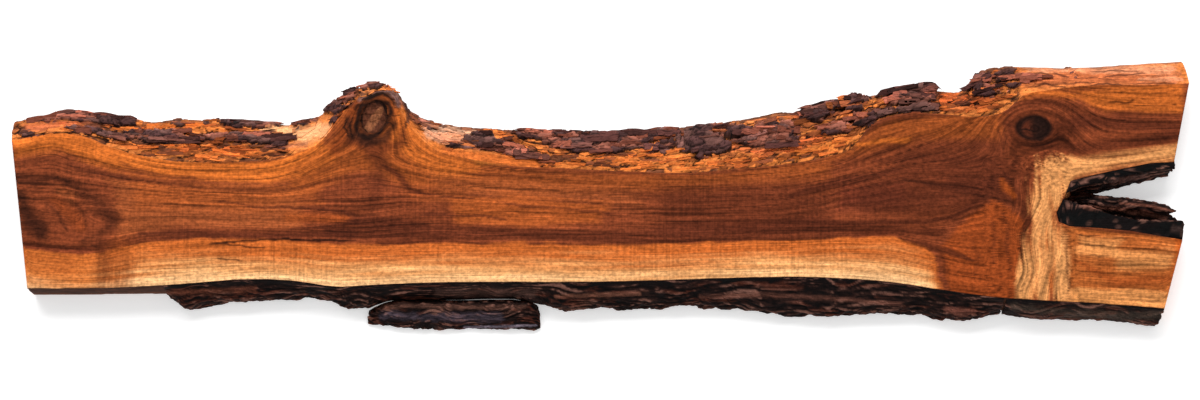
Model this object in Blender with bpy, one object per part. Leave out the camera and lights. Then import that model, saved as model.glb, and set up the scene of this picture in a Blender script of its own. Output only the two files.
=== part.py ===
"""Live-edge walnut slab, sawn flat on both faces, lying on its underside.

The slab is one piece of wood cut along a trunk that forks at its right end.
The face is up (+Z), the grain runs along X, and the natural edges lie at +Y and -Y.
Bark still clings to the natural edges and lines the fork; each coherent plate of it is a solid.
The origin is the centre of the bounding box at the level of the underside. Units are metres.
"""

import math

import bmesh
import bpy
import numpy as np
from mathutils import Matrix, Vector, noise

# Driving dimensions
THICKNESS = 0.051            # a nominal two inch slab
BLANK_HALF_LENGTH = 0.965    # the trunk before its ends are sawn
STATION_STEP = 0.0118        # spacing of the cross sections along the trunk
BARK_STEP = 0.0105           # spacing of the bark's own rows and columns
LOWER_BARK_STEP = 0.0135     # spacing of the columns of the lower edge's bark
SEAT_GAP = 0.0003            # gap between bark and the wood that it clings to
FLOOR_CLEARANCE = 0.0004     # bark ends this far above the underside
FACE_CLEARANCE = 0.0006      # and this far below the sawn face
ROOT_HEIGHT = 0.020          # height towards which the bark's hidden roots draw in
WANE_FOOT = 0.10             # height of the widest line, as a share of the thickness
WANE_TUCK = 0.003            # how far the underside's edge lies inside the widest line
WANE_ROWS = 9                # rows of facets down the upper natural edge
EDGE_ROWS = 4                # and down the steeper lower one
HIGHEST_BARK = 0.09          # share of the slope next to the face that bark plates keep off
BARE_RELIEF = 0.0032         # depth of the broken relief on the bare upper edge
BARE_RIPPLE = 0.0008         # height of the ripples on the bare lower edge

# Edges of the sawn face and widest lines of the wood, seen from above, as (x, y)
FACE_UPPER = [
    (-0.97, 0.071), (-0.89, 0.082), (-0.845, 0.090), (-0.80, 0.083), (-0.765, 0.068),
    (-0.70, 0.050), (-0.64, 0.043), (-0.56, 0.044), (-0.50, 0.049), (-0.464, 0.061),
    (-0.435, 0.076), (-0.416, 0.100), (-0.402, 0.122), (-0.383, 0.135), (-0.365, 0.147),
    (-0.345, 0.156), (-0.325, 0.151), (-0.311, 0.122), (-0.295, 0.098), (-0.264, 0.067),
    (-0.22, 0.053), (-0.16, 0.040), (-0.05, 0.033), (0.05, 0.028), (0.12, 0.026),
    (0.20, 0.031), (0.29, 0.040), (0.36, 0.053), (0.395, 0.067), (0.412, 0.090),
    (0.435, 0.110), (0.47, 0.121), (0.54, 0.120), (0.59, 0.116), (0.64, 0.129),
    (0.66, 0.148), (0.70, 0.158), (0.76, 0.166), (0.85, 0.167), (0.97, 0.172),
]
WANE_UPPER = [
    (-0.97, 0.114), (-0.905, 0.124), (-0.856, 0.131), (-0.80, 0.129), (-0.75, 0.123),
    (-0.71, 0.120), (-0.666, 0.124), (-0.60, 0.120), (-0.55, 0.117), (-0.49, 0.115),
    (-0.455, 0.123), (-0.43, 0.140), (-0.405, 0.160), (-0.379, 0.175), (-0.35, 0.180),
    (-0.331, 0.176), (-0.316, 0.159), (-0.300, 0.138), (-0.275, 0.124), (-0.235, 0.114),
    (-0.17, 0.109), (-0.10, 0.102), (0.0, 0.100), (0.10, 0.103), (0.20, 0.112),
    (0.28, 0.126), (0.35, 0.143), (0.42, 0.156), (0.49, 0.169), (0.535, 0.171),
    (0.578, 0.172), (0.592, 0.186), (0.608, 0.203), (0.655, 0.209), (0.75, 0.208),
    (0.85, 0.214), (0.97, 0.221),
]
FACE_LOWER = [
    (-0.97, -0.156), (-0.74, -0.155), (-0.66, -0.151), (-0.60, -0.146), (-0.54, -0.142),
    (-0.47, -0.145), (-0.40, -0.154), (-0.35, -0.151), (-0.28, -0.148), (0.0, -0.146),
    (0.12, -0.143), (0.24, -0.139), (0.36, -0.140), (0.45, -0.147), (0.53, -0.159),
    (0.60, -0.169), (0.68, -0.175), (0.77, -0.180), (0.87, -0.188), (0.97, -0.196),
]
WANE_LOWER = [
    (-0.97, -0.159), (-0.72, -0.158), (-0.60, -0.156), (-0.47, -0.156), (-0.38, -0.163),
    (-0.10, -0.161), (0.15, -0.160), (0.36, -0.163), (0.50, -0.173), (0.62, -0.184),
    (0.78, -0.189), (0.97, -0.199),
]

# Saw cuts across the ends: two points of each vertical plane, as (x, y)
LEFT_CUT = ((-0.918, 0.078), (-0.882, -0.155))
RIGHT_CUT = [
    (0.925, 0.255), (0.925, 0.172), (0.895, 0.045), (0.899, 0.000), (0.906, -0.040),
    (0.901, -0.081), (0.851, -0.243),
]

# The fork between the two limbs: its wood wall at the face and at the underside, as (x, y)
FORK_AT_FACE = [
    (1.05, 0.050), (0.895, 0.043), (0.856, 0.041), (0.793, 0.028), (0.732, 0.013),
    (0.718, -0.018), (0.708, -0.037), (0.711, -0.052), (0.727, -0.059), (0.773, -0.062),
    (0.820, -0.066), (0.881, -0.077), (1.05, -0.105),
]
FORK_AT_UNDERSIDE = [
    (1.05, 0.041), (0.895, 0.035), (0.858, 0.031), (0.798, 0.019), (0.744, 0.004),
    (0.733, -0.014), (0.727, -0.025), (0.729, -0.033), (0.741, -0.038), (0.777, -0.040),
    (0.822, -0.042), (0.883, -0.051), (1.05, -0.075),
]

# The hollow knot on the burl: centre, half axes and turn of its oval dish
KNOT_HOLLOW_CENTRE = (-0.353, 0.116)
KNOT_HOLLOW_RADII = (0.0205, 0.0275)
KNOT_HOLLOW_DEPTH = 0.009
KNOT_HOLLOW_TURN = math.radians(-18)

# Bark left on the upper edge: (x, start, end) across the slope, 0 at the face and 1 at the widest line
UPPER_BARK = {
    "bark_upper_corner": (0.005, [(-0.935, 0.10, 0.45), (-0.90, 0.08, 0.50), (-0.865, 0.10, 0.32)]),
    "bark_upper_crest": (0.008, [(-0.878, 0.70, 0.98), (-0.83, 0.60, 1.00), (-0.77, 0.72, 1.00), (-0.722, 0.80, 1.00)]),
    "bark_upper_band": (0.007, [(-0.838, 0.26, 0.48), (-0.78, 0.22, 0.56), (-0.70, 0.34, 0.66), (-0.60, 0.44, 0.72), (-0.492, 0.36, 0.60)]),
    "bark_upper_rim": (0.006, [(-0.612, 0.82, 1.00), (-0.56, 0.80, 1.00), (-0.505, 0.84, 1.00)]),
    "bark_upper_scale": (0.007, [(-0.490, 0.62, 0.92), (-0.468, 0.50, 0.96), (-0.446, 0.60, 0.90)]),
    "bark_burl_side": (0.012, [(-0.438, 0.10, 1.00), (-0.410, 0.18, 1.00), (-0.384, 0.35, 1.00)]),
    "bark_burl_crown": (0.007, [(-0.377, 0.30, 1.00), (-0.355, 0.15, 1.00), (-0.336, 0.20, 0.95)]),
    "bark_upper_tongue": (0.006, [(-0.212, 0.52, 0.84), (-0.16, 0.34, 0.72), (-0.088, 0.24, 0.42)]),
    "bark_upper_long": (0.007, [(-0.130, 0.80, 1.00), (-0.09, 0.52, 1.00), (0.0, 0.46, 1.00), (0.08, 0.56, 1.00), (0.125, 0.66, 0.98)]),
    "bark_upper_plate": (0.009, [(0.134, 0.42, 0.90), (0.19, 0.34, 0.96), (0.26, 0.38, 0.88), (0.306, 0.36, 0.84)]),
    "bark_upper_block": (0.017, [(0.316, 0.56, 1.00), (0.36, 0.44, 1.00), (0.40, 0.32, 1.00), (0.44, 0.14, 1.00), (0.533, 0.06, 1.00)]),
    "bark_upper_lump": (0.009, [(0.583, 0.66, 1.00), (0.606, 0.46, 1.00), (0.628, 0.42, 0.80)]),
    "bark_upper_chip": (0.005, [(0.640, 0.46, 0.66), (0.664, 0.44, 0.76), (0.688, 0.50, 0.64)]),
}

# Outermost lines of the bark on the lower edge, as (x, y)
LOWER_BARK_OUTLINE = [
    (-0.672, -0.163), (-0.660, -0.178), (-0.60, -0.176), (-0.51, -0.171), (-0.42, -0.171),
    (-0.395, -0.181), (-0.368, -0.184), (-0.352, -0.176), (-0.330, -0.171), (-0.12, -0.171),
    (-0.094, -0.177), (-0.07, -0.183), (0.0, -0.184), (0.20, -0.182),
    (0.24, -0.188), (0.35, -0.195), (0.42, -0.192), (0.51, -0.193), (0.54, -0.201),
    (0.58, -0.199), (0.622, -0.194),
]
LIMB_BARK_OUTLINE = [(0.626, -0.195), (0.70, -0.197), (0.80, -0.201), (0.855, -0.208), (0.91, -0.212)]

# The plate that has come off the lower edge, as (x, near side, far side, near height, far height)
LOOSE_PLATE = [
    (-0.360, -0.1930, -0.2030, 0.015, 0.011), (-0.345, -0.1850, -0.2065, 0.022, 0.014),
    (-0.325, -0.1765, -0.2080, 0.029, 0.016), (-0.290, -0.1760, -0.2120, 0.033, 0.016),
    (-0.200, -0.1755, -0.2125, 0.032, 0.015), (-0.125, -0.1760, -0.2130, 0.031, 0.015),
    (-0.104, -0.1790, -0.2135, 0.027, 0.014), (-0.094, -0.1890, -0.2135, 0.019, 0.013),
]
PLATE_ROOT = 0.009           # how far its foot reaches back to the bark that it leans on

# Bark on the upper limb's side of the fork: (x, y at the face, y at the underside)
FORK_BARK_UPPER = [
    (0.698, -0.024, -0.016), (0.722, -0.008, -0.006), (0.74, 0.000, -0.002), (0.785, 0.011, 0.0045), (0.82, 0.020, 0.012),
    (0.86, 0.029, 0.023), (0.905, 0.034, 0.034),
]
# Bark on the lower limb's side: (x, y at the face, y under its brow, y of the shelf at its foot)
FORK_BARK_LOWER = [
    (0.690, -0.012, -0.010, 0.000), (0.720, -0.016, -0.014, 0.004), (0.746, -0.0236, -0.022, 0.006),
    (0.785, -0.0365, -0.036, 0.002), (0.811, -0.0434, -0.043, -0.006), (0.840, -0.0493, -0.048, -0.011),
    (0.868, -0.0513, -0.052, -0.015), (0.884, -0.0505, -0.052, -0.020), (0.906, -0.0502, -0.050, -0.040),
]
# The ragged sliver that lies along that shelf: (x, y, z, half width, half height)
SPLINTER = [
    (0.745, -0.0105, 0.0185, 0.0035, 0.0035), (0.762, -0.0130, 0.0220, 0.0060, 0.0060),
    (0.785, -0.0145, 0.0235, 0.0095, 0.0080), (0.812, -0.0165, 0.0240, 0.0100, 0.0085),
    (0.842, -0.0205, 0.0235, 0.0090, 0.0080), (0.870, -0.0250, 0.0230, 0.0090, 0.0075),
    (0.888, -0.0275, 0.0220, 0.0065, 0.0055), (0.9000, -0.0300, 0.0215, 0.0010, 0.0015),
]

COLLECTION = "walnut_slab"
CUTTERS = "cutters"


def outline(points, x):
    """Height of a smooth curve through the points at x, held level beyond its ends."""
    xs, ys = np.array(points).T
    slopes = np.gradient(ys, xs)
    x = min(max(x, xs[0]), xs[-1])
    k = min(int(np.searchsorted(xs, x, side="right")) - 1, len(xs) - 2)
    span = xs[k + 1] - xs[k]
    s = (x - xs[k]) / span
    return float(
        (1 + 2 * s) * (1 - s) ** 2 * ys[k]
        + s * (1 - s) ** 2 * span * slopes[k]
        + s * s * (3 - 2 * s) * ys[k + 1]
        + s * s * (s - 1) * span * slopes[k + 1]
    )


def columns_of(table, x):
    """Every column after the first of a table of points, read at x."""
    return [outline([(row[0], row[k]) for row in table], x) for k in range(1, len(table[0]))]


def edge_profile(x, share, upper):
    """(y, z) on the bare natural edge, from the sawn face at share 0 to the widest line at share 1."""
    face = outline(FACE_UPPER if upper else FACE_LOWER, x)
    widest = outline(WANE_UPPER if upper else WANE_LOWER, x)
    rounding = 0.5 * (1 - share) + 0.5 * math.sqrt(max(0.0, 1 - share * share))
    return face + (widest - face) * share, THICKNESS * (WANE_FOOT + (1 - WANE_FOOT) * rounding)


def edge_normal(x, share, upper):
    """Unit (y, z) pointing out of the natural edge."""
    step = 0.02
    before = edge_profile(x, max(0.0, share - step), upper)
    after = edge_profile(x, min(1.0, share + step), upper)
    along = Vector((after[0] - before[0], after[1] - before[1])).normalized()
    normal = Vector((-along.y, along.x))
    return normal if (normal.x > 0) == upper else -normal


def ripple(x, y, z):
    """Long ripples of bare wood, from -1 to 1, drawn out along the grain."""
    return noise.noise(Vector((x * 22, y * 90, z * 90))) + 0.5 * noise.noise(Vector((x * 48, y * 150, z * 60 + 7)))


def ridges(x, across, seed):
    """Height of broken bark plates, 0 in a crack to 1 on the proudest plate, drawn out along the trunk."""
    bend = 0.006 * noise.noise(Vector((x * 12, across * 20, seed)))
    near, apart = noise.voronoi(Vector((x * 24, (across + bend) * 62, seed)))
    crack = min(1.0, 2.6 * (near[1] - near[0]))
    level = 0.5 + 0.5 * noise.cell(apart[0] * 7.3)
    return crack * (0.45 + 0.55 * level)


def in_collection(name):
    found = bpy.data.collections.get(name)
    if found is None:
        found = bpy.data.collections.new(name)
        bpy.context.scene.collection.children.link(found)
    return found


def object_from(bm, name, collection=COLLECTION):
    mesh = bpy.data.meshes.new(name)
    bmesh.ops.recalc_face_normals(bm, faces=bm.faces[:])
    bm.to_mesh(mesh)
    bm.free()
    made = bpy.data.objects.new(name, mesh)
    in_collection(collection).objects.link(made)
    if collection == CUTTERS:
        made.hide_render = True
        made.display_type = "WIRE"
    return made


def cut(target, cutter, operation="DIFFERENCE"):
    modifier = target.modifiers.new(f"{operation.lower()} {cutter.name}", "BOOLEAN")
    modifier.operation = operation
    modifier.solver = "EXACT"
    modifier.use_self = True
    modifier.object = cutter


def bake(target):
    """Turns the cut object into a plain mesh that keeps only its largest body."""
    bpy.context.view_layer.update()
    graph = bpy.context.evaluated_depsgraph_get()
    mesh = bpy.data.meshes.new_from_object(target.evaluated_get(graph))
    target.modifiers.clear()
    target.data = mesh
    bm = bmesh.new()
    bm.from_mesh(mesh)
    bodies, left = [], set(bm.faces)
    while left:
        body, rim = [], [left.pop()]
        while rim:
            face = rim.pop()
            body.append(face)
            for edge in face.edges:
                if len(edge.link_faces) == 2:
                    beside = left.intersection(edge.link_faces)
                    left -= beside
                    rim += beside
        bodies.append(body)
    bodies.sort(key=len)
    for scrap in bodies[:-1]:
        bmesh.ops.delete(bm, geom=scrap, context="FACES")
    bm.to_mesh(mesh)
    bm.free()


def prism(name, at_top, at_bottom, top, bottom):
    """Cutter whose level ends are two like outlines."""
    bm = bmesh.new()
    rings = []
    for points, z in ((at_bottom, bottom), (at_top, top)):
        rings.append([bm.verts.new((x, y, z)) for x, y in points])
    count = len(rings[0])
    for k in range(count):
        after = (k + 1) % count
        bm.faces.new((rings[0][k], rings[0][after], rings[1][after]))
        bm.faces.new((rings[0][k], rings[1][after], rings[1][k]))
    bm.faces.new(rings[0][::-1])
    bm.faces.new(rings[1])
    return object_from(bm, name, CUTTERS)


def close_tube(bm):
    """Welds the seam of a rolled-up grid, splits its faces one way and closes its ends."""
    bmesh.ops.remove_doubles(bm, verts=bm.verts[:], dist=1e-6)
    bmesh.ops.triangulate(bm, faces=bm.faces[:], quad_method="FIXED")
    bmesh.ops.holes_fill(bm, edges=[e for e in bm.edges if e.is_boundary], sides=0)


def section(x, lift):
    """Cross section of the trunk at x as a closed loop of (y, z), moved out by lift."""
    loop = []
    for upper, rows in ((True, WANE_ROWS), (False, EDGE_ROWS)):
        side = []
        for row in range(rows + 1):
            share = (row / rows) ** 0.9
            y, z = edge_profile(x, share, upper)
            out = edge_normal(x, share, upper)
            if upper:
                relief = -BARE_RELIEF * (1 - ridges(x, y + z, 3.0)) * (0.4 if row in (0, rows) else 1.0)
            else:
                relief = BARE_RIPPLE * ripple(x, y, z) if 0 < row < rows else 0.0
            side.append((y + out.x * (relief + lift), min(z + out.y * relief, THICKNESS) + max(0.0, out.y) * lift))
        y, z = side[0]
        side[0] = (y, THICKNESS + lift)
        y, z = side[-1]
        side.append((y - math.copysign(WANE_TUCK, y), -lift))
        loop += side if upper else side[::-1]
    return loop


def trunk(name, lift, collection=COLLECTION):
    """The sawn trunk before its ends are cut, as a tube of cross sections with closed ends."""
    stations = round(2 * BLANK_HALF_LENGTH / STATION_STEP)
    loops = [
        section(-BLANK_HALF_LENGTH + k * STATION_STEP, lift)
        for k in range(stations + 1)
    ]
    around = len(loops[0])
    bm = bmesh.new()
    bmesh.ops.create_grid(bm, x_segments=stations, y_segments=around, size=0.5)
    for vertex in bm.verts:
        station = round((vertex.co.x + 0.5) * stations)
        y, z = loops[station][round((vertex.co.y + 0.5) * around) % around]
        vertex.co = (-BLANK_HALF_LENGTH + station * STATION_STEP, y, z)
    close_tube(bm)
    return object_from(bm, name, collection)


def fork_cutter(name, shrink):
    """The space between the limbs, its walls moved in by shrink, taller than the slab."""
    over = 0.01
    outlines = []
    for z, sign in ((THICKNESS + over, 1), (-over, -1)):
        share = z / THICKNESS
        points = []
        for (xf, yf), (xu, yu) in zip(FORK_AT_FACE, FORK_AT_UNDERSIDE):
            points.append((xu + (xf - xu) * share, yu + (yf - yu) * share))
        middle = Vector((0.80, -0.012))
        moved = []
        for x, y in points:
            away = Vector((x, y)) - middle
            away = Vector((min(away.x, 0.0), away.y))
            moved.append(tuple(Vector((x, y)) - away.normalized() * shrink))
        outlines.append(moved)
    return prism(name, outlines[0], outlines[1], THICKNESS + over, -over)


def saw_cutters():
    """Blocks of space beyond the two sawn ends."""
    (x0, y0), (x1, y1) = LEFT_CUT
    lean = (x1 - x0) / (y1 - y0)
    far = 0.30
    left = [(x0 + lean * (far - y0), far), (-1.2, far), (-1.2, -far), (x0 + lean * (-far - y0), -far)]
    right = RIGHT_CUT + [(1.2, -0.30), (1.2, 0.30)]
    over = 0.02
    return [
        prism("left_saw_cut", left, left, THICKNESS + over, -over),
        prism("right_saw_cut", right, right, THICKNESS + over, -over),
    ]


def knot_hollow_cutter():
    """Oval dish where the burl's dead branch has shrunk below the face."""
    bm = bmesh.new()
    bmesh.ops.create_uvsphere(bm, u_segments=24, v_segments=12, radius=1.0)
    scale = Matrix.Diagonal((*KNOT_HOLLOW_RADII, KNOT_HOLLOW_DEPTH, 1))
    turn = Matrix.Rotation(KNOT_HOLLOW_TURN, 4, "Z")
    place = Matrix.Translation((*KNOT_HOLLOW_CENTRE, THICKNESS + 0.001))
    bmesh.ops.transform(bm, matrix=place @ turn @ scale, verts=bm.verts[:])
    return object_from(bm, "knot_hollow", CUTTERS)


def sheet_solid(name, columns, rows, place, depth, narrowing=1.0, collection=COLLECTION):
    """A sheet shaped by place(u, v), thickened by pushing a copy of it along Y by depth.

    The copy's heights draw in towards the middle of the slab by the narrowing.
    """
    bm = bmesh.new()
    bmesh.ops.create_grid(bm, x_segments=columns, y_segments=rows, size=0.5)
    for vertex in bm.verts:
        vertex.co = place(vertex.co.x + 0.5, vertex.co.y + 0.5)
    pushed = bmesh.ops.extrude_face_region(bm, geom=bm.faces[:])
    moved = [item for item in pushed["geom"] if isinstance(item, bmesh.types.BMVert)]
    for vertex in moved:
        vertex.co.y += depth
        vertex.co.z = ROOT_HEIGHT + (vertex.co.z - ROOT_HEIGHT) * narrowing
    bmesh.ops.triangulate(bm, faces=bm.faces[:], quad_method="FIXED")
    return object_from(bm, name, collection)


def held(z):
    """Keeps a height between the underside and the sawn face."""
    return min(max(z, FLOOR_CLEARANCE), THICKNESS - FACE_CLEARANCE)


def upper_bark(name, thickness, band, seed):
    """Plate of bark on the upper edge, rooted in the wood and cut back to its surface later."""
    start, end = band[0][0], band[-1][0]
    columns = max(3, round((end - start) / BARK_STEP))
    widest = max(b - a for _, a, b in band)
    rows = max(3, round(widest * 0.075 / (0.75 * BARK_STEP)))

    def place(u, v):
        x = start + (end - start) * u
        low, high = columns_of(band, x)
        ragged = min(0.10, 0.25 * (high - low)) * noise.noise(Vector((x * 75, 5.0 * v, seed)))
        share = min(1.0, max(HIGHEST_BARK, low + (high - low) * v + ragged))
        x += 0.006 * noise.noise(Vector((v * 6, seed, u * 3))) * (1 if u in (0, 1) else 0.4)
        y, z = edge_profile(x, share, True)
        out = edge_normal(x, share, True)
        rim = min(1.0, 0.30 + 4.0 * min(u, 1 - u) * (end - start) / 0.06)
        open_low = 0.45 + 0.55 * min(1.0, 4 * v)
        open_high = 1.0 if high > 0.95 else 0.45 + 0.55 * min(1.0, 4 * (1 - v))
        height = thickness * rim * open_low * open_high * (0.40 + 0.60 * ridges(x, y, seed))
        headroom = (THICKNESS - FACE_CLEARANCE - z) / max(0.2, out.y)
        height = max(0.0, min(height, headroom))
        return Vector((x, y + out.x * height, max(FLOOR_CLEARANCE, z + out.y * height)))

    return sheet_solid(name, columns, rows, place, -0.030, 0.55)


def lower_bark(name, line, seed, depth_of_furrow, smooth, swell_out=0.0, collection=COLLECTION):
    """Run of bark down the lower edge, thin at the sawn face and thickest near the floor."""
    start, end = line[0][0], line[-1][0]
    columns = round((end - start) / LOWER_BARK_STEP)
    rows = 7

    def place(u, v):
        x = start + (end - start) * u
        z = held(THICKNESS * (1 - v))
        bare = outline(WANE_LOWER, x) + (outline(FACE_LOWER, x) - outline(WANE_LOWER, x)) * (1 - v) ** 2
        lip = 0.0022 + 0.001 * noise.noise(Vector((x * 30, seed, 0)))
        swell = 0.5 * (1 - math.cos(math.pi * min(1.0, v * smooth)))
        full = bare + (outline(line, x) - bare) * swell
        furrow = depth_of_furrow * swell * (0.75 - ridges(x, z, seed))
        end_taper = min(1.0, 0.35 + min(u, 1 - u) * (end - start) / 0.05)
        y = bare - lip - (bare - lip - full - furrow) * end_taper
        return Vector((x, min(y, bare - lip) - swell_out, z))

    return sheet_solid(name, columns, rows, place, 0.026, collection=collection)


def loose_plate(name, seed):
    """Plate of bark that has come away along the lower edge and leans on the rest."""
    start, end = LOOSE_PLATE[0][0], LOOSE_PLATE[-1][0]
    columns, around, across_top = round((end - start) / BARK_STEP), 13, 8
    bm = bmesh.new()
    bmesh.ops.create_grid(bm, x_segments=columns, y_segments=around, size=0.5)
    for vertex in bm.verts:
        x = start + (end - start) * (vertex.co.x + 0.5)
        near, far, near_height, far_height = columns_of(LOOSE_PLATE, x)
        turn = round((vertex.co.y + 0.5) * around) % around
        if turn < across_top:
            share = turn / (across_top - 1)
            crest = ridges(x, 0.034 * share, seed)
            y = near + (far - near) * share
            z = near_height + (far_height - near_height) * share - 0.006 * (1 - crest)
            z -= 0.004 * (share in (0.0, 1.0))
        else:
            share = (around - 1 - turn) / (around - 1 - across_top)
            y = near + PLATE_ROOT + (far - near - PLATE_ROOT) * 0.95 * share
            z = FLOOR_CLEARANCE
        vertex.co = (x, y, z)
    close_tube(bm)
    return object_from(bm, name)


def fork_bark_upper(name, seed, swell, collection=COLLECTION):
    """Bark on the upper limb's side of the fork, its open side moved out by swell."""
    start, end = FORK_BARK_UPPER[0][0], FORK_BARK_UPPER[-1][0]

    def place(u, v):
        x = start + (end - start) * u
        at_face, at_underside = columns_of(FORK_BARK_UPPER, x)
        z = held(THICKNESS * (1 - v))
        y = at_face + (at_underside - at_face) * v ** 1.15
        return Vector((x, y + 0.007 * math.sin(math.pi * v) * (1 - ridges(x, z, seed)) - swell, z))

    return sheet_solid(name, round((end - start) / BARK_STEP), 7, place, 0.040, collection=collection)


def fork_bark_lower(name, seed):
    """Bark on the lower limb's side of the fork: a brow at the face and a shelf at its foot."""
    start, end = FORK_BARK_LOWER[0][0], FORK_BARK_LOWER[-1][0]
    rows = 8

    def place(u, v):
        x = start + (end - start) * u
        brow, hollow, shelf = columns_of(FORK_BARK_LOWER, x)
        row = round(v * rows)
        steps = [
            (brow, THICKNESS), (brow + 0.002, 0.86 * THICKNESS), (hollow, 0.66 * THICKNESS),
            (hollow + 0.003, 0.46 * THICKNESS), (hollow + 0.3 * (shelf - hollow), 0.30 * THICKNESS),
            (hollow + 0.65 * (shelf - hollow), 0.26 * THICKNESS), (shelf, 0.20 * THICKNESS),
            (shelf + 0.001, 0.08 * THICKNESS), (shelf - 0.003, 0.0),
        ]
        y, z = steps[row]
        worn = 1 - ridges(x, y + z, seed)
        return Vector((x, y - 0.004 * worn * (row > 0), held(z - 0.003 * worn * (3 < row < 7))))

    return sheet_solid(name, round((end - start) / BARK_STEP), rows, place, -0.075)


def splinter(name, seed):
    """Ragged sliver of bark rooted in the depth of the fork."""
    start, end = SPLINTER[0][0], SPLINTER[-1][0]
    columns, around = round((end - start) / (0.8 * BARK_STEP)), 9
    bm = bmesh.new()
    bmesh.ops.create_grid(bm, x_segments=columns, y_segments=around, size=0.5)
    for vertex in bm.verts:
        u, turn = vertex.co.x + 0.5, math.tau * (vertex.co.y + 0.5)
        x = start + (end - start) * u
        y, z, half_width, half_height = columns_of(SPLINTER, x)
        torn = 1 + 0.30 * noise.noise(Vector((x * 70, math.cos(turn) * 1.5, math.sin(turn) * 1.5 + seed)))
        vertex.co = (x, y + half_width * torn * math.cos(turn), z + half_height * torn * math.sin(turn))
    close_tube(bm)
    return object_from(bm, name)


def finish_with(material_name, colour, roughness, pieces):
    material = bpy.data.materials.new(material_name)
    material.use_nodes = True
    shader = material.node_tree.nodes["Principled BSDF"]
    shader.inputs["Base Color"].default_value = (*colour, 1)
    shader.inputs["Roughness"].default_value = roughness
    shader.inputs["Metallic"].default_value = 0
    for piece in pieces:
        piece.data.materials.clear()
        piece.data.materials.append(material)
        piece.data.shade_smooth()
        piece.data.set_sharp_from_angle(angle=math.radians(35))


def centre_over_origin(pieces):
    """Moves the whole object so that its bounding box is centred over the origin, underside at zero."""
    corners = np.array([v.co for piece in pieces for v in piece.data.vertices])
    low, high = corners.min(axis=0), corners.max(axis=0)
    shift = Matrix.Translation((-(low[0] + high[0]) / 2, -(low[1] + high[1]) / 2, -low[2]))
    for piece in pieces:
        piece.data.transform(shift)


def main():
    for old in list(bpy.data.objects):
        bpy.data.objects.remove(old)

    saw_cuts = saw_cutters()
    wood = trunk("slab_wood", 0.0)
    for cutter in (fork_cutter("fork", 0.0), *saw_cuts, knot_hollow_cutter()):
        cut(wood, cutter)

    seat = trunk("wood_with_gap", 1.4 * SEAT_GAP, CUTTERS)
    cut(seat, fork_cutter("fork_with_gap", 1.4 * SEAT_GAP))

    bark = [
        upper_bark(name, thickness, band, 10.0 + 7 * k)
        for k, (name, (thickness, band)) in enumerate(UPPER_BARK.items())
    ]
    lower_run = (LOWER_BARK_OUTLINE, 131.0, 0.009, 1.7)
    bark.append(lower_bark("bark_lower_run", *lower_run))
    limb_bark = lower_bark("bark_lower_limb", LIMB_BARK_OUTLINE, 151.0, 0.003, 2.4)
    fork_upper = fork_bark_upper("bark_fork_upper", 171.0, 0.0)
    fork_lower = fork_bark_lower("bark_fork_lower", 191.0)
    cut(fork_lower, fork_bark_upper("fork_upper_with_gap", 171.0, 2 * SEAT_GAP, CUTTERS))
    fork_pieces = [fork_upper, fork_lower]
    sliver = splinter("bark_fork_splinter", 211.0)
    plate = loose_plate("bark_loose_plate", 231.0)
    cut(plate, lower_bark("lower_run_with_gap", *lower_run, 2 * SEAT_GAP, CUTTERS))

    for piece in (*bark, limb_bark, *fork_pieces, sliver):
        cut(piece, seat)
    for piece in (bark[0], limb_bark, *fork_pieces):
        for cutter in saw_cuts:
            cut(piece, cutter)

    pieces = [wood, *bark, limb_bark, *fork_pieces, sliver, plate]
    for piece in pieces:
        bake(piece)
    finish_with("oiled walnut", (0.24, 0.075, 0.026), 0.38, [wood])
    finish_with("walnut bark", (0.055, 0.034, 0.028), 0.82, pieces[1:])
    centre_over_origin(pieces)


main()
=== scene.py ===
import math

import bmesh
import bpy
import numpy as np
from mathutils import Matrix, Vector, bvhtree, geometry, kdtree, noise


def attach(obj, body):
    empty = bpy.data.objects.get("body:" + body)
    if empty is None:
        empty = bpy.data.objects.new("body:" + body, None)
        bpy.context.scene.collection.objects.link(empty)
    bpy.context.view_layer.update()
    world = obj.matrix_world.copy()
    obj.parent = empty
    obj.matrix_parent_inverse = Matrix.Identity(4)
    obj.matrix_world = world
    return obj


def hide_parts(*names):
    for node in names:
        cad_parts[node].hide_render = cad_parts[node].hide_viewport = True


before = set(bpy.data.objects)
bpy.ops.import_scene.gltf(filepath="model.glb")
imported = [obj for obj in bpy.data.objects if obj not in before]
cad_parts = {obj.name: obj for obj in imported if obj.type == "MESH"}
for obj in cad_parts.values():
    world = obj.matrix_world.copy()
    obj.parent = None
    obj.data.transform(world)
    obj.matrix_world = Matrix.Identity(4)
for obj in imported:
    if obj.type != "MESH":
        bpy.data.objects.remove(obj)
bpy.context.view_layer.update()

# The slab is one board sawn from a forked walnut trunk, 51 mm thick.
# Its faces are planed and oiled, and its ends are straight from the saw.
# Its long sides are the trunk's own natural edge, with the burl of a lost branch on the upper one.
THICKNESS = 0.051
# Sizes of the fine triangles, along and across the grain
FACE_STEP = (0.0064, 0.0019)
UNDERSIDE_STEP = (0.016, 0.0075)
END_STEP = (0.0034, 0.0030)
KNOT_STEP = (0.0026, 0.0016)
SWIRL_STEP = (0.0030, 0.0020)
CROTCH_STEP = (0.0030, 0.0022)
# The burl's knot, as its middle and half widths, and the middle of the limb's knot
BURL_KNOT = (-0.3527, 0.1162, 0.0215, 0.0285)
LIMB_KNOT = (0.6789, 0.0953)
# Where the upper face's figure is fine: middle, radius, and the triangles there
FINE_FIELDS = (
    (BURL_KNOT[:2], 0.062, KNOT_STEP),
    (LIMB_KNOT, 0.070, KNOT_STEP),
    ((-0.82, -0.035), 0.060, SWIRL_STEP),
    ((0.684, -0.028), 0.050, CROTCH_STEP),
    ((0.684, -0.130), 0.050, CROTCH_STEP),
)
# The fork's limbs part here. Beyond it the upper limb's outer edge, and its weathering, start here across
FORK_ROOT = 0.70
UPPER_LIMB, LIMB_WEATHERING = 0.088, 0.085


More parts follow.
